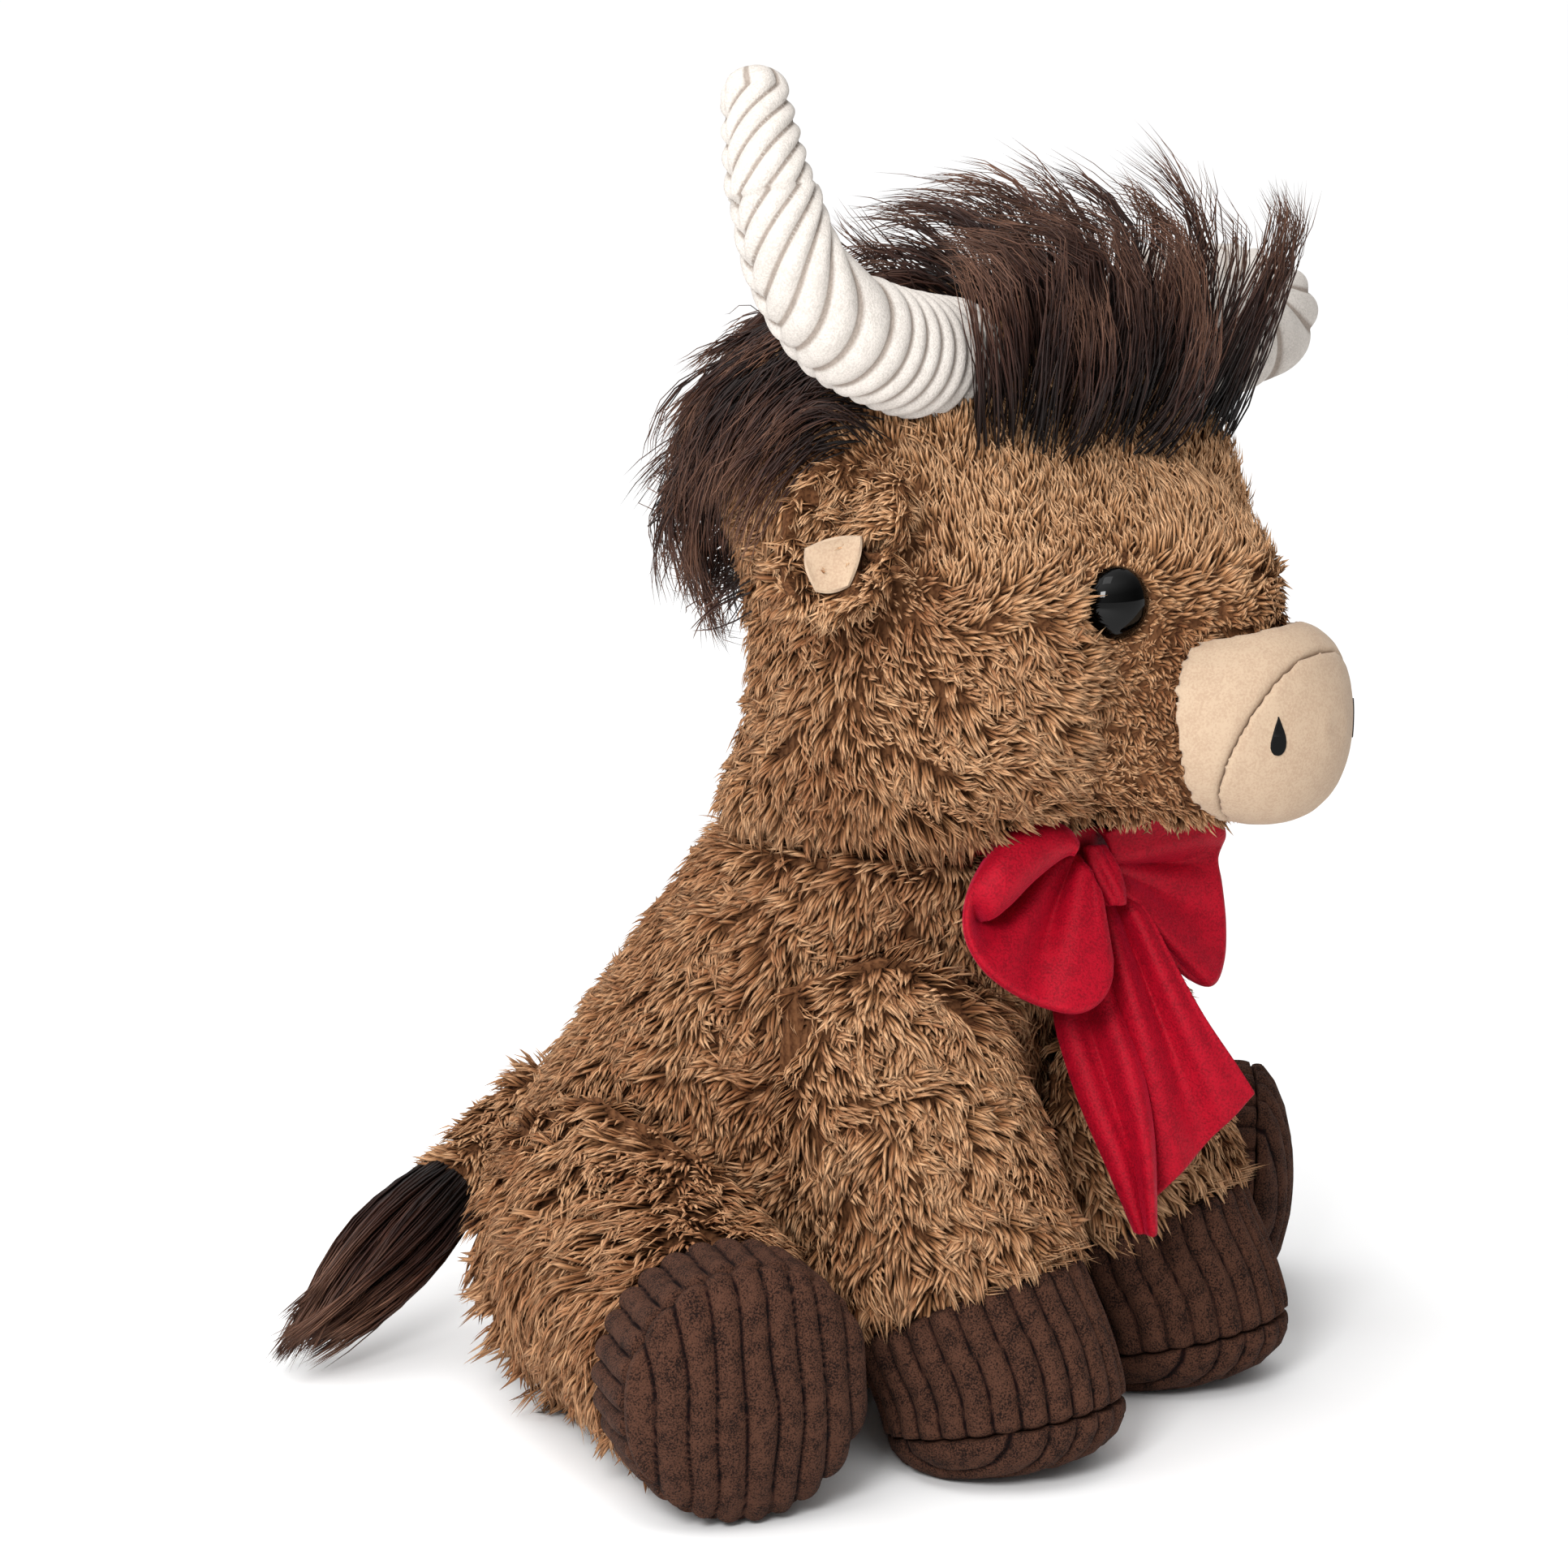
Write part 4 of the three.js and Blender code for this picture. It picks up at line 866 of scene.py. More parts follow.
def horn(word):
    """One horn: a ribbed tube along its route, closed with a dome at the tip."""
    line, ways, length = spline(mm(horn_routes[word])[1:])
    rings = int(length / mm(0.9))

    def place(u, v):
        share = np.clip(v / 0.96, 0, 1)
        centre, way = read(line, share), unit(read(ways, share))
        axes = ring_axes(way)
        across = axes[0]
        inner = np.sign(across[:, 2:]) if word == "right" else 0
        radius = read(HORN_RADII, share)
        centre = centre + mm(1.6) * np.sin(np.pi * share)[:, None] * (across * inner)
        angle = 2 * np.pi * u
        tip = np.clip((v - 0.96) / 0.04, 0, 1)
        start = np.clip(v / 0.01, 0, 1)
        seam = np.abs((angle + 0.1 + 0.65 * share + np.pi) % (2 * np.pi) - np.pi)
        slant = 0.75 * ease(share, 0.35, 0.75)
        growth = 1 + HORN_GROWTH * share
        ribs = length * np.log(growth) / (HORN_GROWTH * HORN_PITCH)
        crest = rib(ribs - slant * radius * seam / (HORN_PITCH * growth), 0.8)
        ground = mm(2.5) * (1 - crest) * (1 - tip) + mm(1.4) * np.exp(-(seam * radius / mm(2.2)) ** 2)
        swell = (radius - ground) * np.sqrt(np.maximum(1 - tip ** 2, 0)) * start
        return on_ring(centre + way * (mm(9.0) * tip)[:, None], axes, swell, angle), crest

    piece = wrapped(f"horn_{word}_cloth", 88, rings, place)
    finish_piece(piece, "cow", "horn", horn_cloth, f"horn_{word}")
    print(piece.name, round(length * 1000), "mm long,", len(piece.data.polygons), "faces")


for word in ("right", "left"):
    horn(word)

# %% [markdown]
# ## Hooves
# A hoof is a band of brown jumbo corduroy sewn round the end of the leg, with a round sole that
# closes it. The ribs of the band run along the leg, and those of the sole straight across it. Both
# are gathered into the seam, so each rib ends in a rounded pillow.

# %% Hooves
RIB_PITCH, RIB_FLATNESS = mm(10.3), 0.55
GROOVE, PILLOW = mm(3.6), mm(1.8)
front_route = [(54, -94, 170), (57, -110, 136), (59, -122, 104), (61, -139, 62), (62, -157, 24), (62.5, -162, -0.5)]
hind_route = [(62, -12, 62), (90, -28, 61), (122, -60, 53), (152, -98, 46.5), (169, -121, 45.3), (178, -136, 45)]


def gathered(edge):
    """1 at a seam and 0 from 5 mm away from it, rounded like a pillow."""
    return 1 - np.sqrt(np.clip(1 - (1 - np.clip(edge / mm(5), 0, 1)) ** 2, 0, 1))


def hoof_band(name, line, ways, length, start, end, radius):
    """A ring of ribs along the leg, rounded in at both ends and closed inside."""
    ribs = round(2 * math.pi * radius / RIB_PITCH)

    def place(u, v):
        share = np.interp(v, [0, 0.1, 0.9, 1], [start, start, end, end])
        centre, way = read(line, share), unit(read(ways, share))
        inner = np.minimum(v, 1 - v) / 0.1
        edge = np.minimum(share - start, end - share) * length
        wobble = 0.16 * waves(centre, mm(30), 3)
        crest = rib(ribs * u + wobble, RIB_FLATNESS)
        size = radius - GROOVE * (1 - crest) - PILLOW * gathered(edge)
        size = np.where(inner < 1, size * np.clip(inner, 0, 1), size)
        return on_ring(centre, ring_axes(way), size, 2 * np.pi * u), crest

    return wrapped(name, ribs * 10, 32, place)


def hoof_sole(name, centre, way, radius, depth, shares, rib_way):
    """A domed disc with straight ribs, rounded in at its seam and closed behind."""
    axes = ring_axes(way)
    rib_across = unit(np.cross(way, rib_way))
    depths, widths = np.array(shares, float).T

    def place(u, v):
        angle = 2 * np.pi * u
        back = np.clip(v / 0.08, 0, 1)
        travel = np.clip((v - 0.08) / 0.92, 0, 1)
        path = np.append(np.hypot(np.diff(depths) * depth, np.diff(widths) * radius).cumsum(), 0)
        path = np.concatenate([[0], path[:-1], [path[-2] + widths[-1] * radius]])
        place_on = travel * path[-1]
        deep = np.interp(place_on, path, [*depths, depths[-1]]) * depth
        wide = np.interp(place_on, path, [*widths, 0]) * radius
        flat = on_ring(0, axes, wide, angle)
        count = (flat @ rib_across) / RIB_PITCH + 0.5 + 0.12 * waves(flat, mm(40), 5)
        crest = rib(count, RIB_FLATNESS)
        ground = GROOVE * (1 - crest)
        slope = np.clip(wide / radius, 0, 1)
        size = wide - ground * slope * 0.8 - PILLOW * gathered(place_on)
        out = deep - ground * (1 - 0.6 * slope)
        size = np.where(v < 0.08, size * back, size)
        return on_ring(centre + way * out[:, None], axes, size, angle), crest

    return wrapped(name, 208, 46, place)


# Depth and width of a sole from its seam to its middle, as shares of its full depth and radius
FRONT_SOLE = [(0, 0.99), (0.3, 0.96), (0.62, 0.88), (0.86, 0.75), (1, 0.58)]
HIND_SOLE = [(0, 0.99), (0.22, 0.97), (0.5, 0.84), (0.75, 0.63), (0.92, 0.37), (1, 0.14)]


def hoof(kind, word, side, route, radius, band, sole, shares, rib_way, body):
    """Band and sole of one hoof, at the end of its leg's route. Sizes are in millimetres."""
    route = mm([(side * x, y, z) for x, y, z in route])
    line, ways, length = spline(list(route))
    end = 1 - mm(sole) / length
    start = end - mm(band) / length
    ring = hoof_band(f"{kind}_hoof_band_{word}_cloth", line, ways, length, start, end - mm(0.3) / length, mm(radius))
    disc = hoof_sole(
        f"{kind}_hoof_sole_{word}_cloth", read(line, end), unit(read(ways, end)), mm(radius), mm(sole),
        shares, rib_way,
    )
    for piece, node in ((ring, "band"), (disc, "sole")):
        points = settled(points_of(piece), f"{kind}_hoof_{node}_{word}")
        points[:, 2] = np.maximum(points[:, 2], mm(0.2))
        move_points(piece, points)
        finish_piece(piece, body, "corduroy", corduroy, f"{kind}_hoof_{node}_{word}")
    print(kind, word, "hoof", len(ring.data.polygons) + len(disc.data.polygons), "faces")


for word, side in SIDES:
    hoof("front", word, side, front_route, 43, 42, 17, FRONT_SOLE, (0.05, -1, 0), f"front_leg_{word}_body")
    hoof("hind", word, side, hind_route, 45.5, 31, 17, HIND_SOLE, (0, 0.1, 1), "cow")

# %% [markdown]
# ## Long hair
# The crown is long acrylic hair that springs from the forehead seam, stands up and falls back over
# the head. Hair never lies evenly: it parts into locks whose strands run together at their tips.
# One strand is a bent thread with three sides, and each lock bends all its strands as one.

# %% Strands in locks
def threads(paths, width, rng, patch):
    """Points, faces, places along and across, length and shade of tapered threads, from their paths."""
    count, steps = paths.shape[:2]
    ahead = unit(np.gradient(paths, axis=1))
    across = unit(np.cross(ahead, unit(rng.normal(size=(count, 1, 3)))))
    other = np.cross(ahead, across)
    share = np.linspace(0, 1, steps)
    half = width[:, None] / 2 * (1 - 0.75 * share[None] ** 1.6)
    points = np.empty((count, (steps - 1) * 3 + 1, 3))
    for corner in range(3):
        turn = 2 * np.pi * corner / 3
        offset = (across * np.cos(turn) + other * np.sin(turn)) * half[:, :, None]
        points[:, corner:-1:3] = (paths + offset)[:, :-1]
    points[:, -1] = paths[:, -1]
    length = np.linalg.norm(np.diff(paths, axis=1), axis=2).sum(1)
    return points, *tube(share[:-1]), length, patch


def in_locks(roots, lock_roots, lock_paths, gather, stray, rng):
    """Paths of strands that follow the path of their nearest lock and run together towards its tip."""
    owner = np.argmin(np.linalg.norm(roots[:, None] - lock_roots[None], axis=2), axis=1)
    steps = lock_paths.shape[1]
    share = np.linspace(0, 1, steps)[None, :, None]
    own = roots[:, None] + (lock_paths[owner] - lock_roots[owner][:, None])
    pull = gather * share ** 1.3
    paths = own * (1 - pull) + lock_paths[owner] * pull
    bow, swing = rng.normal(0, 1, (len(roots), 1, 3)), rng.normal(0, 0.35, (len(roots), 1, 3))
    bend = bow * share ** 1.5 + swing * np.sin(2 * np.pi * share * rng.uniform(0.6, 1.4, (len(roots), 1, 1)))
    return paths + bend * stray, owner


# %% [markdown]
# ## Crown
# Its locks are walked step by step. At each step the way is a mix of the comb, of a pull back to the
# solid's surface and of a wildness that grows towards the tip. A few hundred paths are enough, because
# the strands between them only follow the nearest one.

# %% Crown
def crown_way(points):
    """Up at the forehead seam, back over the top and down behind."""
    back = ease(points[:, 1], mm(-188), mm(-60))[:, None]
    high = ease(points[:, 2], mm(395), mm(428))[:, None]
    side = np.sign(points[:, 0])[:, None] * ease(np.abs(points[:, 0]), 0, mm(70))[:, None]
    zero = np.zeros_like(side)
    rise = np.concatenate([0.12 * side, zero - 0.05, zero + 1], axis=1)
    fall = np.concatenate([0.25 * side, zero + 0.5, zero - 0.9], axis=1)
    over = np.concatenate([zero - 0.3, zero + 1, zero + 0.05], axis=1)
    way = rise * (1 - back) + fall * back
    return unit(way * (1 - 0.8 * high) + over * 0.8 * high)


def crown_hair(seed=71, spacing=3.05, locks=260):
    """Strands on the part of the scalp under the crown's solid, clear of the horns."""
    rng = np.random.default_rng(seed)
    scalp = copy_of("head", "scalp")
    points, normals = roots_on(scalp, spacing * (1), rng)
    bpy.data.objects.remove(scalp)
    keep = ~uncovered(points + normals * mm(2.5), ["hair_crown"], mm(0.3))
    keep &= uncovered(points + normals * mm(2.5), ["horn_right", "horn_left"])
    points, normals = swollen(points[keep]), normals[keep]
    chosen = rng.choice(len(points), locks, replace=False)
    lock_roots, out = points[chosen], normals[chosen]
    steps = 7
    paths = np.empty((locks, steps, 3))
    place = lock_roots - out * mm(1.5)
    front = ease(-lock_roots[:, 1], mm(110), mm(150))
    front_left = front * ease(lock_roots[:, 0], mm(0), mm(45))
    rear = ease(lock_roots[:, 1], mm(-75), mm(-25))
    length = mm(50) * rng.uniform(0.75, 1.25, locks) * (1 + 0.35 * front + 0.15 * front_left + 0.1 * rear)
    middle, radii = mm([0, -107, 342]), mm([106, 101, 92])
    wild = rng.normal(0, 0.27, (locks, 3)) * (0.8 + 0.45 * front_left + 0.55 * rear)[:, None]
    for step in range(steps):
        paths[:, step] = place
        share = step / (steps - 1)
        away = unit((place - middle) / radii)
        depth = np.linalg.norm((place - middle) / radii, axis=1)[:, None]
        lift = np.clip(0.94 - depth, -0.3, 0.2) * 5 * (1 - 0.7 * front_left[:, None])
        lift = lift + (0.1 + 0.4 * front[:, None]) * (1 - share)
        rise = 0.4 * front[:, None] * np.array([0, 0.1, 1.0]) + front_left[:, None] * np.array([0.34, -0.35, 1.2])
        way = unit(crown_way(place) + wild * (0.5 + share) + away * lift + rise * (1.3 - share))
        place = place + way * (length / (steps - 1))[:, None]
    strands, owner = in_locks(points, lock_roots, paths, 0.6, mm(3.0), rng)
    clear = np.ones(len(points), bool)
    for word in ("right", "left"):
        line, _, _ = spline(mm(horn_routes[word])[1:], 60)
        away = np.linalg.norm(strands[:, 1:, None] - line[None, None], axis=3).min(2)
        clear &= away.min(1) > mm(22.5)
    strands, owner, points = strands[clear], owner[clear], points[clear]
    width = rng.uniform(mm(0.5), mm(0.95), len(points)) * 1
    piece = mesh_of_spikes("crown_hair", [threads(strands, width, rng, rng.normal(0, 0.5, locks)[owner])], rng)
    finish_piece(piece, "cow", "hair", hair, "hair_crown")
    print("crown", len(points), "strands,", len(piece.data.polygons), "faces")


crown_hair()

# %% [markdown]
# ## Tail tuft
# The tail ends in the same long hair as the crown. It hangs from one round end, so all its locks
# start on a small disc, swell outward a little and close again towards the tip.

# %% Tail tuft
def tail_hair(seed=81, count=900):
    """Strands from the end of the tail's stub, trailing along the way in which it droops."""
    rng = np.random.default_rng(seed)
    droop, trail = math.radians(29), math.radians(7)
    way = np.array([-math.cos(trail) * math.cos(droop), math.sin(trail) * math.cos(droop), -math.sin(droop)])
    start = mm([0, 86.734, 84]) + way * mm(58)
    angle, spread = rng.uniform(0, 2 * np.pi, count), np.sqrt(rng.uniform(0, 1, count)) * mm(14)
    roots = on_ring(start, ring_axes(way, (0, 0, 1)), spread, angle)
    locks = 26
    chosen = rng.choice(count, locks, replace=False)
    share = np.linspace(0, 1, 8)[None, :, None]
    length = mm(96) * rng.uniform(0.8, 1.05, locks)
    outward = unit(roots[chosen] - start)
    wild = rng.normal(0, 0.05, (locks, 1, 3))
    paths = roots[chosen][:, None] + way * length[:, None, None] * share + length[:, None, None] * wild * share ** 2
    paths += outward[:, None] * (mm(6) * np.sin(np.pi * share) - spread[chosen][:, None, None] * 0.6 * share ** 2)
    strands, owner = in_locks(roots, roots[chosen], paths, 0.8, mm(1.6), rng)
    width = rng.uniform(mm(0.9), mm(1.5), count)
    piece = mesh_of_spikes("tail_tuft_hair", [threads(strands, width, rng, rng.normal(0, 0.5, locks)[owner])], rng)
    points = points_of(piece)
    points[:, 2] = np.maximum(points[:, 2], mm(0.5))
    move_points(piece, points)
    finish_piece(piece, "tail_body", "hair", hair, "tail_tuft")
    print("tuft", count, "strands,", len(piece.data.polygons), "faces")


tail_hair()

# %% [markdown]
# ## Muzzle and nostrils
# The muzzle is two panels of tan velour over firm stuffing, gathered into their seam. Its folds are
# pressed in along short lines, which gives more control than a cloth simulation at this size. The
# nostrils are pads of satin stitch, laid on the curve of the panel so that they neither sink nor float.

# %% Muzzle
MUZZLE_FOLDS = [
    ((-16, -208, 292), (-13, -232, 280), 1.3, 2.6), ((-4, -214, 294), (-5, -232, 284), 0.9, 2.4),
    ((-49, -226, 262), (-44, -238, 262), 0.8, 2.2), ((-44, -224, 286), (-52, -222, 262), 0.7, 2.8),
]


def creased(points, normals, folds):
    """Points pressed in along short lines, where the cloth is gathered into a seam."""
    press = np.zeros(len(points))
    for start, end, depth, width in folds:
        start, run = mm(start), mm(np.subtract(end, start))
        share = np.clip((points - start) @ run / (run @ run), 0, 1)
        away = np.linalg.norm(points - start - share[:, None] * run, axis=1)
        press += mm(depth) * np.exp(-(away / mm(width)) ** 2)
    return points - normals * press[:, None]


def velour_panel(node, name):
    """One panel of the muzzle, softened, creased, and drawn in where its rear edge meets the head."""
    piece = copy_of(node, name)
    modify(piece, "REMESH", mode="VOXEL", voxel_size=mm(1.3))
    modify(piece, "SMOOTH", factor=0.5, iterations=9)
    points = points_of(piece)
    outward = unit((points - MUZZLE) * [1, 0, 1])
    rear = ease(points[:, 1], mm(-212), mm(-198)) * (1 - ease(points[:, 2], mm(270), mm(286)))
    points += rear[:, None] * (mm(1.5) * outward + mm([0, 8, 0]))
    move_points(piece, points)
    move_points(piece, creased(points_of(piece), normals_of(piece), MUZZLE_FOLDS))
    smooth_shading(piece)
    finish_piece(piece, "cow", "velour", velour_tan, node)
    return piece


def stitched_on(pad, base, shift, top=0.4, bottom=-0.8):
    """A pad moved sideways and laid on a panel, its face just proud of the cloth and its back just under it."""
    tree = BVHTree.FromObject(base, bpy.context.evaluated_depsgraph_get())
    laid = []
    for point in points_of(pad):
        place, normal, _, _ = tree.find_nearest(Vector(point))
        height = (Vector(point) - place).dot(normal)
        place, normal, _, _ = tree.find_nearest(Vector(point) + Vector((mm(shift), 0, 0)))
        laid.append(place + normal * mm(top if height > mm(0.8) else bottom))
    move_points(pad, np.array(laid))


velour_panel("muzzle_gusset", "muzzle_gusset_cloth")
muzzle_disc = velour_panel("muzzle_front", "muzzle_front_cloth")
for word, shift in (("right", 0), ("left", -4.5)):
    pad = copy_of(f"nostril_{word}", f"nostril_{word}_stitch")
    stitched_on(pad, muzzle_disc, shift)
    finish_piece(pad, "cow", "thread", thread, f"nostril_{word}")
    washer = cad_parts[f"eye_washer_{word}"]
    washer.data.materials.clear()
    washer.data.materials.append(washer_white)
    print("nostril and washer,", word)

# %% [markdown]
# ## Eyes
# A safety eye is one moulded dome, held from inside by a washer. Half a ball, flattened behind, gives
# its outline, and its gloss alone makes it look alive: the small lamp shows in it as one highlight.

# %% Eyes
for (word, side), place in zip(SIDES, eye_places):
    bpy.ops.object.select_all(action="DESELECT")
    bpy.ops.mesh.primitive_uv_sphere_add(segments=48, ring_count=24, radius=1)
    eye = bpy.context.object
    eye.name = f"eye_{word}_dome"
    shape = points_of(eye) * mm([12.0, 12.6, 8.5])
    shape[:, 2] = np.where(shape[:, 2] < 0, shape[:, 2] * 0.3, shape[:, 2])
    turn = math.radians(33)
    out = np.array([side * math.sin(turn), -math.cos(turn), 0])
    level = np.array([math.cos(turn), side * math.sin(turn), 0])
    move_points(eye, place + shape[:, :1] * level + shape[:, 1:2] * np.array([0, 0, 1]) + shape[:, 2:] * out)
    mend(eye)
    smooth_shading(eye)
    finish_piece(eye, "cow", "eye", eye_gloss, f"eye_{word}")
    print(eye.name, len(eye.data.polygons), "faces")

# %% [markdown]
# ## Neck ribbon and bow
# The bow is a wide strip of red velour, gathered in a knot. Each loop fans out from the knot in
# pleats, turns back at its far end and returns to the knot behind, so that it stands open like a
# cup. The two ends hang down. They're laid out on a plane through the knot that is turned 55 degrees
# from the cow's front, in millimetres to the right, up and forward from the knot's middle.

# %% Cloth in pleats
BOW_RIGHT, BOW_UP, BOW_FRONT = np.array([
    [0.574, -0.819, 0.0], [0.142, 0.100, 0.985], [-0.807, -0.565, 0.174],
])
KNOT = mm([0, -162.8, 197])


def bow_place(right, up, front):
    """Points from millimetres to the right, up and forward on the bow's own plane."""
    right, up, front = (right - 1.5)[:, None], (up + 1.3)[:, None], front[:, None]
    return KNOT + mm(1) * (right * BOW_RIGHT + up * BOW_UP + front * BOW_FRONT)


def smooth_read(rows, share):
    """Values of a table at these shares, on a smooth curve through its rows."""
    rows = np.asarray(rows, float)
    steps = np.linspace(0, 1, len(rows))
    slopes = np.gradient(rows, steps, axis=0)
    index = np.clip((share * (len(rows) - 1)).astype(int), 0, len(rows) - 2)
    width = steps[1] - steps[0]
    part = (share - steps[index]) / width
    if rows.ndim > 1:
        part = part[:, None]
    return (
        rows[index] * (1 + 2 * part) * (1 - part) ** 2 + slopes[index] * width * part * (1 - part) ** 2
        + rows[index + 1] * part ** 2 * (3 - 2 * part) + slopes[index + 1] * width * part ** 2 * (part - 1)
    )


def cloth_piece(name, body, node, place, across, along_count, thickness=2.4):
    """A sheet from a grid, given its thickness, with rounded edges, and the size that its cloth was cut to."""
    piece = wrapped(name, across, along_count, place, closed=False)
    sheet_area = sum(p.area for p in piece.data.polygons)
    grid = points_of(piece).reshape(along_count + 1, across + 1, 3)
    wide = np.linalg.norm(np.diff(grid, axis=1), axis=2).sum(1).max()
    long = np.linalg.norm(np.diff(grid, axis=0), axis=2).sum(0).max()
    print(name, "cut", round(wide * 1000), "x", round(long * 1000), "mm")
    modify(piece, "SOLIDIFY", thickness=mm(thickness), offset=0.0)
    modify(piece, "SUBSURF", levels=1)
    mend(piece)
    smooth_shading(piece)
    finish_piece(piece, body, "bow", velour_red, node)
    print(name, "cloth area", round(sheet_area * 1e6), "mm2,", len(piece.data.polygons), "faces")


# %% [markdown]
# ## Loops
# A loop is drawn between two lines: its outline, where the cloth turns back, and the points at the
# knot from which its pleats fan out. A third row lifts each pleat forward or presses it back, so the
# folds can be matched to the picture one by one.

# %% Loops
RIGHT_LOOP = {
    "outline": [(-9, 10), (-13, 15), (-21, 17.5), (-31, 15), (-39.5, 6.5), (-46, -5), (-48, -16), (-46, -25),
                (-39.5, -34), (-27, -42.5), (-12, -47.3), (-3, -45), (2, -38), (3, -29)],
    "apex": [(-10, 7, 3), (-13, 6.5, 5), (-18, 3.5, 7), (-26, -3, 8), (-33, -10, 7), (-39, -15, 3), (-41, -15, -8),
             (-28, -2, -12), (-15, 6, -11), (-8, 8, -7), (-6, 6, -3), (-4, 4, -2), (-3, 1, 0), (-1, -3, 1)],
    "front": [9, 9, 9, 10, 10, 10, 6, -10, -13, -9, -1, -8, 5, 8, 8, 6, 2],
    "roll": [1, 1, 1, 1, 1, 0.7, 0, 0, 0, 0, 0, 0, 0, 0], "slope": -0.66, "behind": 16, "over": 13,
    "cut": (0.155, 0.132), "area": 0.0100,
}
LEFT_LOOP = {
    "outline": [(9, 17), (27, 19), (42, 18), (46.5, 13), (44, 4.5), (45.5, -5), (47, -19), (46.3, -32), (42, -40),
                (35, -38), (28, -32), (18, -22)],
    "apex": [(0, 13, -2), (3, 8, 0), (4, 4, 0), (4, 2, 0), (4, 1, 0), (3, 0, 0), (3, -1, 0), (2, -3, 0)],
    "front": [3, 7, 8, 6, -9, -5, -6, 0, 7, -6, -3, -3], "roll": [0, 0], "slope": -0.78, "behind": 12, "over": 0,
    "cut": (0.145, 0.141), "area": 0.0075,
}


def loop(word, shape):
    """A band of cloth that leaves the knot in pleats, turns back at its outline and returns behind."""
    def place(u, v):
        end, apex = smooth_read(shape["outline"], u), smooth_read(shape["apex"], u)
        reach = np.sin(np.pi * v) ** 0.75
        turned = ease(v, 0.44, 0.56)
        wave, roll = smooth_read(shape["front"], u), read(shape["roll"], u)
        hollow = np.sin(np.pi * np.clip(reach, 0, 1) ** 0.8) * 0.9 + 0.12 * reach
        lifted = np.where(wave > 0, reach * (1.15 - 0.35 * reach), hollow)
        lifted = lifted * (1 - roll) + roll * np.sqrt(np.clip(1 - (1 - 2 * reach) ** 2, 0, 1))
        near = wave * lifted + 4 * reach
        far = -shape["behind"] * np.sin(np.pi * np.clip(reach, 0, 1) * 0.8) + 0.35 * wave * lifted
        flat = apex[:, :2] + (end - apex[:, :2]) * reach[:, None]
        gather = np.clip(reach / 0.22, 0, 1)
        flat = flat + np.stack([0 * u, (0.5 - u) * 6 * (1 - gather) * (1 - roll)], axis=1)
        front = near * (1 - turned) + far * turned + apex[:, 2] * (1 - reach) + shape["slope"] * flat[:, 0]
        return bow_place(flat[:, 0], flat[:, 1], front + 2 + shape["over"])

    cloth_piece(
        f"bow_loop_{word}_cloth", "cow", f"bow_loop_{word}", place, 68, 46,
    )


loop("right", RIGHT_LOOP)
loop("left", LEFT_LOOP)

# %% [markdown]
# ## Hanging ends
# Each end is one width of ribbon between two edges, which are read from the photo's outlines. They
# start close together in the knot and part on the way down, and the folds between them flatten out.

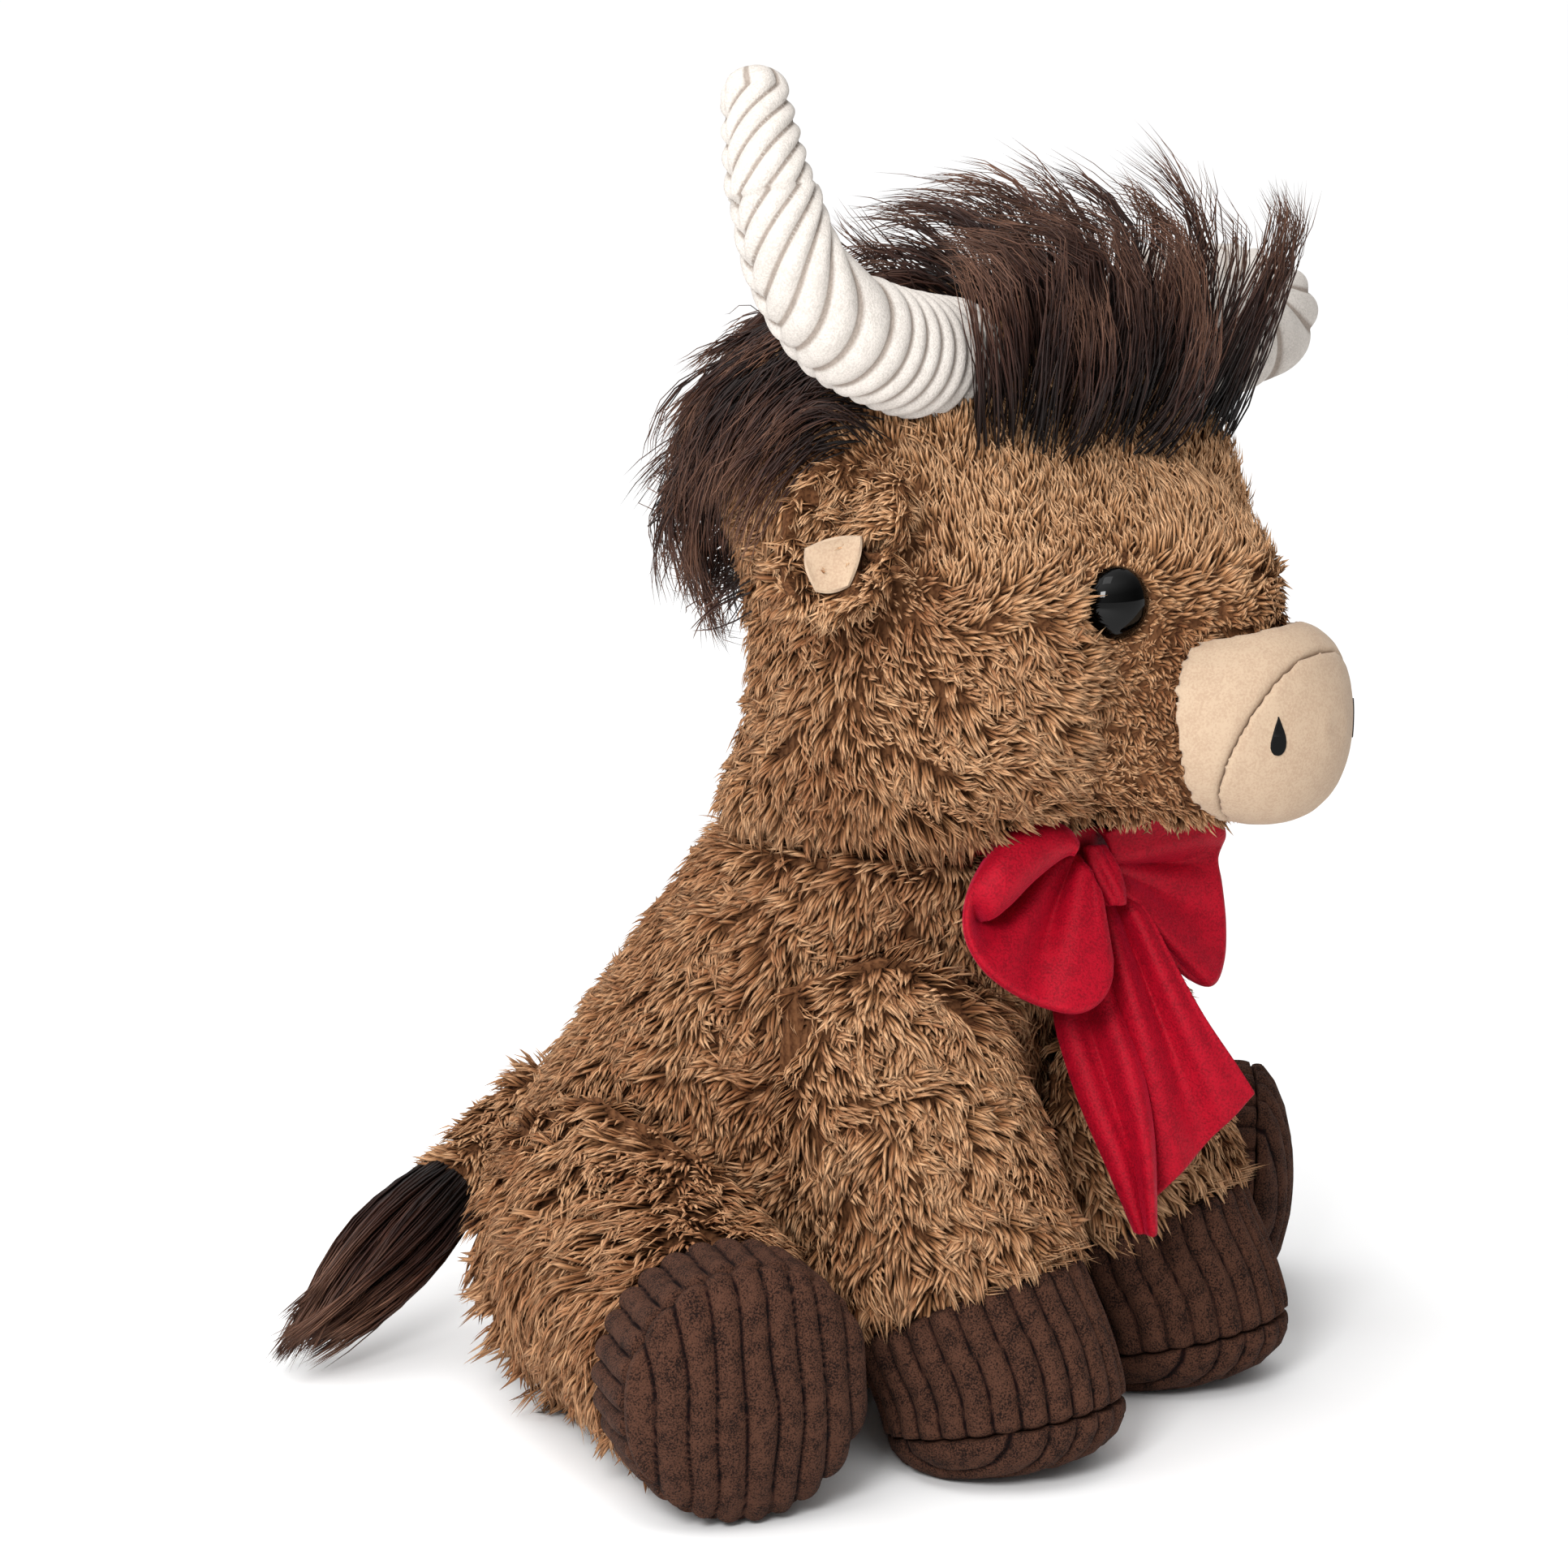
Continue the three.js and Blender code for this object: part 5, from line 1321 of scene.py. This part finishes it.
# %% Hanging ends
RIGHT_END = {
    "left": [(-3, -6), (-9, -26), (-15, -47), (-8, -76), (5, -107), (14, -127)],
    "right": [(5, -8), (4, -24), (7, -44), (14, -66), (18.5, -92), (20, -128)],
    "front": [-4, 1, 2, -1, -2, 3, 8, 8, 0], "lean": [-10, -12, -7, 1, 3, -4], "cut": (0.036, 0.132), "area": 0.0038,
}
LEFT_END = {
    "left": [(0, -8), (1, -24), (6, -46), (11, -68), (15, -95), (19, -117)],
    "right": [(8, -6), (17, -13), (27, -32), (37, -50), (48, -66), (56, -78)],
    "front": [-3, 1, 5, 6, 2, -3, -4, -1, 3, 3, 0, -1], "lean": [-7, -5, -2, -1, -5, -10],
    "cut": (0.058, 0.112), "area": 0.0040,
}


def hanging_end(word, shape):
    """A ribbon end that leaves the knot gathered and opens in soft folds towards its slanted cut."""
    def place(u, v):
        left, right = smooth_read(shape["left"], v), smooth_read(shape["right"], v)
        flat = left * (1 - u)[:, None] + right * u[:, None]
        spread = ease(v, 0, 0.25)
        front = smooth_read(shape["front"], u) * (0.35 + 0.65 * spread) * (1 - 0.35 * v)
        return bow_place(flat[:, 0], flat[:, 1], front + smooth_read(shape["lean"], v))

    cloth_piece(
        f"bow_tail_{word}_cloth", f"bow_tail_{word}_body", f"bow_tail_{word}", place, 40, 52,
    )


hanging_end("right", RIGHT_END)
hanging_end("left", LEFT_END)

# %% [markdown]
# ## Knot and neck ribbon
# The knot is a short band round the gathered cloth. Creases that run slantwise over it show that it
# is pulled tight. The neck ribbon is the solid's own, sunk into the pile behind, where it would
# otherwise stand off the fur.

# %% Knot and neck ribbon
def knot_place(u, v):
    """A short band wrapped round the gathered cloth, pinched in by three creases."""
    turn = 2 * np.pi * u
    up = (v - 0.5) * 2
    pinch = 1 - 0.30 * np.abs(up) ** 3
    crease = 1 + 0.14 * np.sin(3 * turn + 2.2 * up + 0.6) + 0.07 * np.sin(7 * turn - 1.5 * up)
    right, front = 4.6 * pinch * crease * np.cos(turn), 5.5 * pinch * crease * np.sin(turn)
    return bow_place(right - 4.0 * up + 1.5, 10.5 * up - 1, front + 4)


cloth_piece(
    "bow_knot_cloth", "cow", "bow_knot", knot_place, 60, 16,
)

ribbon = copy_of("neck_ribbon", "neck_ribbon_cloth")
points = points_of(ribbon)
outward = points - mm([0, -87, 0])
outward[:, 2] = 0
hide = mm(23) * ease(points[:, 1], mm(-158), mm(-135))
move_points(ribbon, points - unit(outward) * hide[:, None])
smooth_shading(ribbon, 40)
finish_piece(ribbon, "cow", "bow", velour_red, "neck_ribbon")
print("neck ribbon, half of its whole surface", round(sum(p.area for p in ribbon.data.polygons) * 5e5), "mm2")
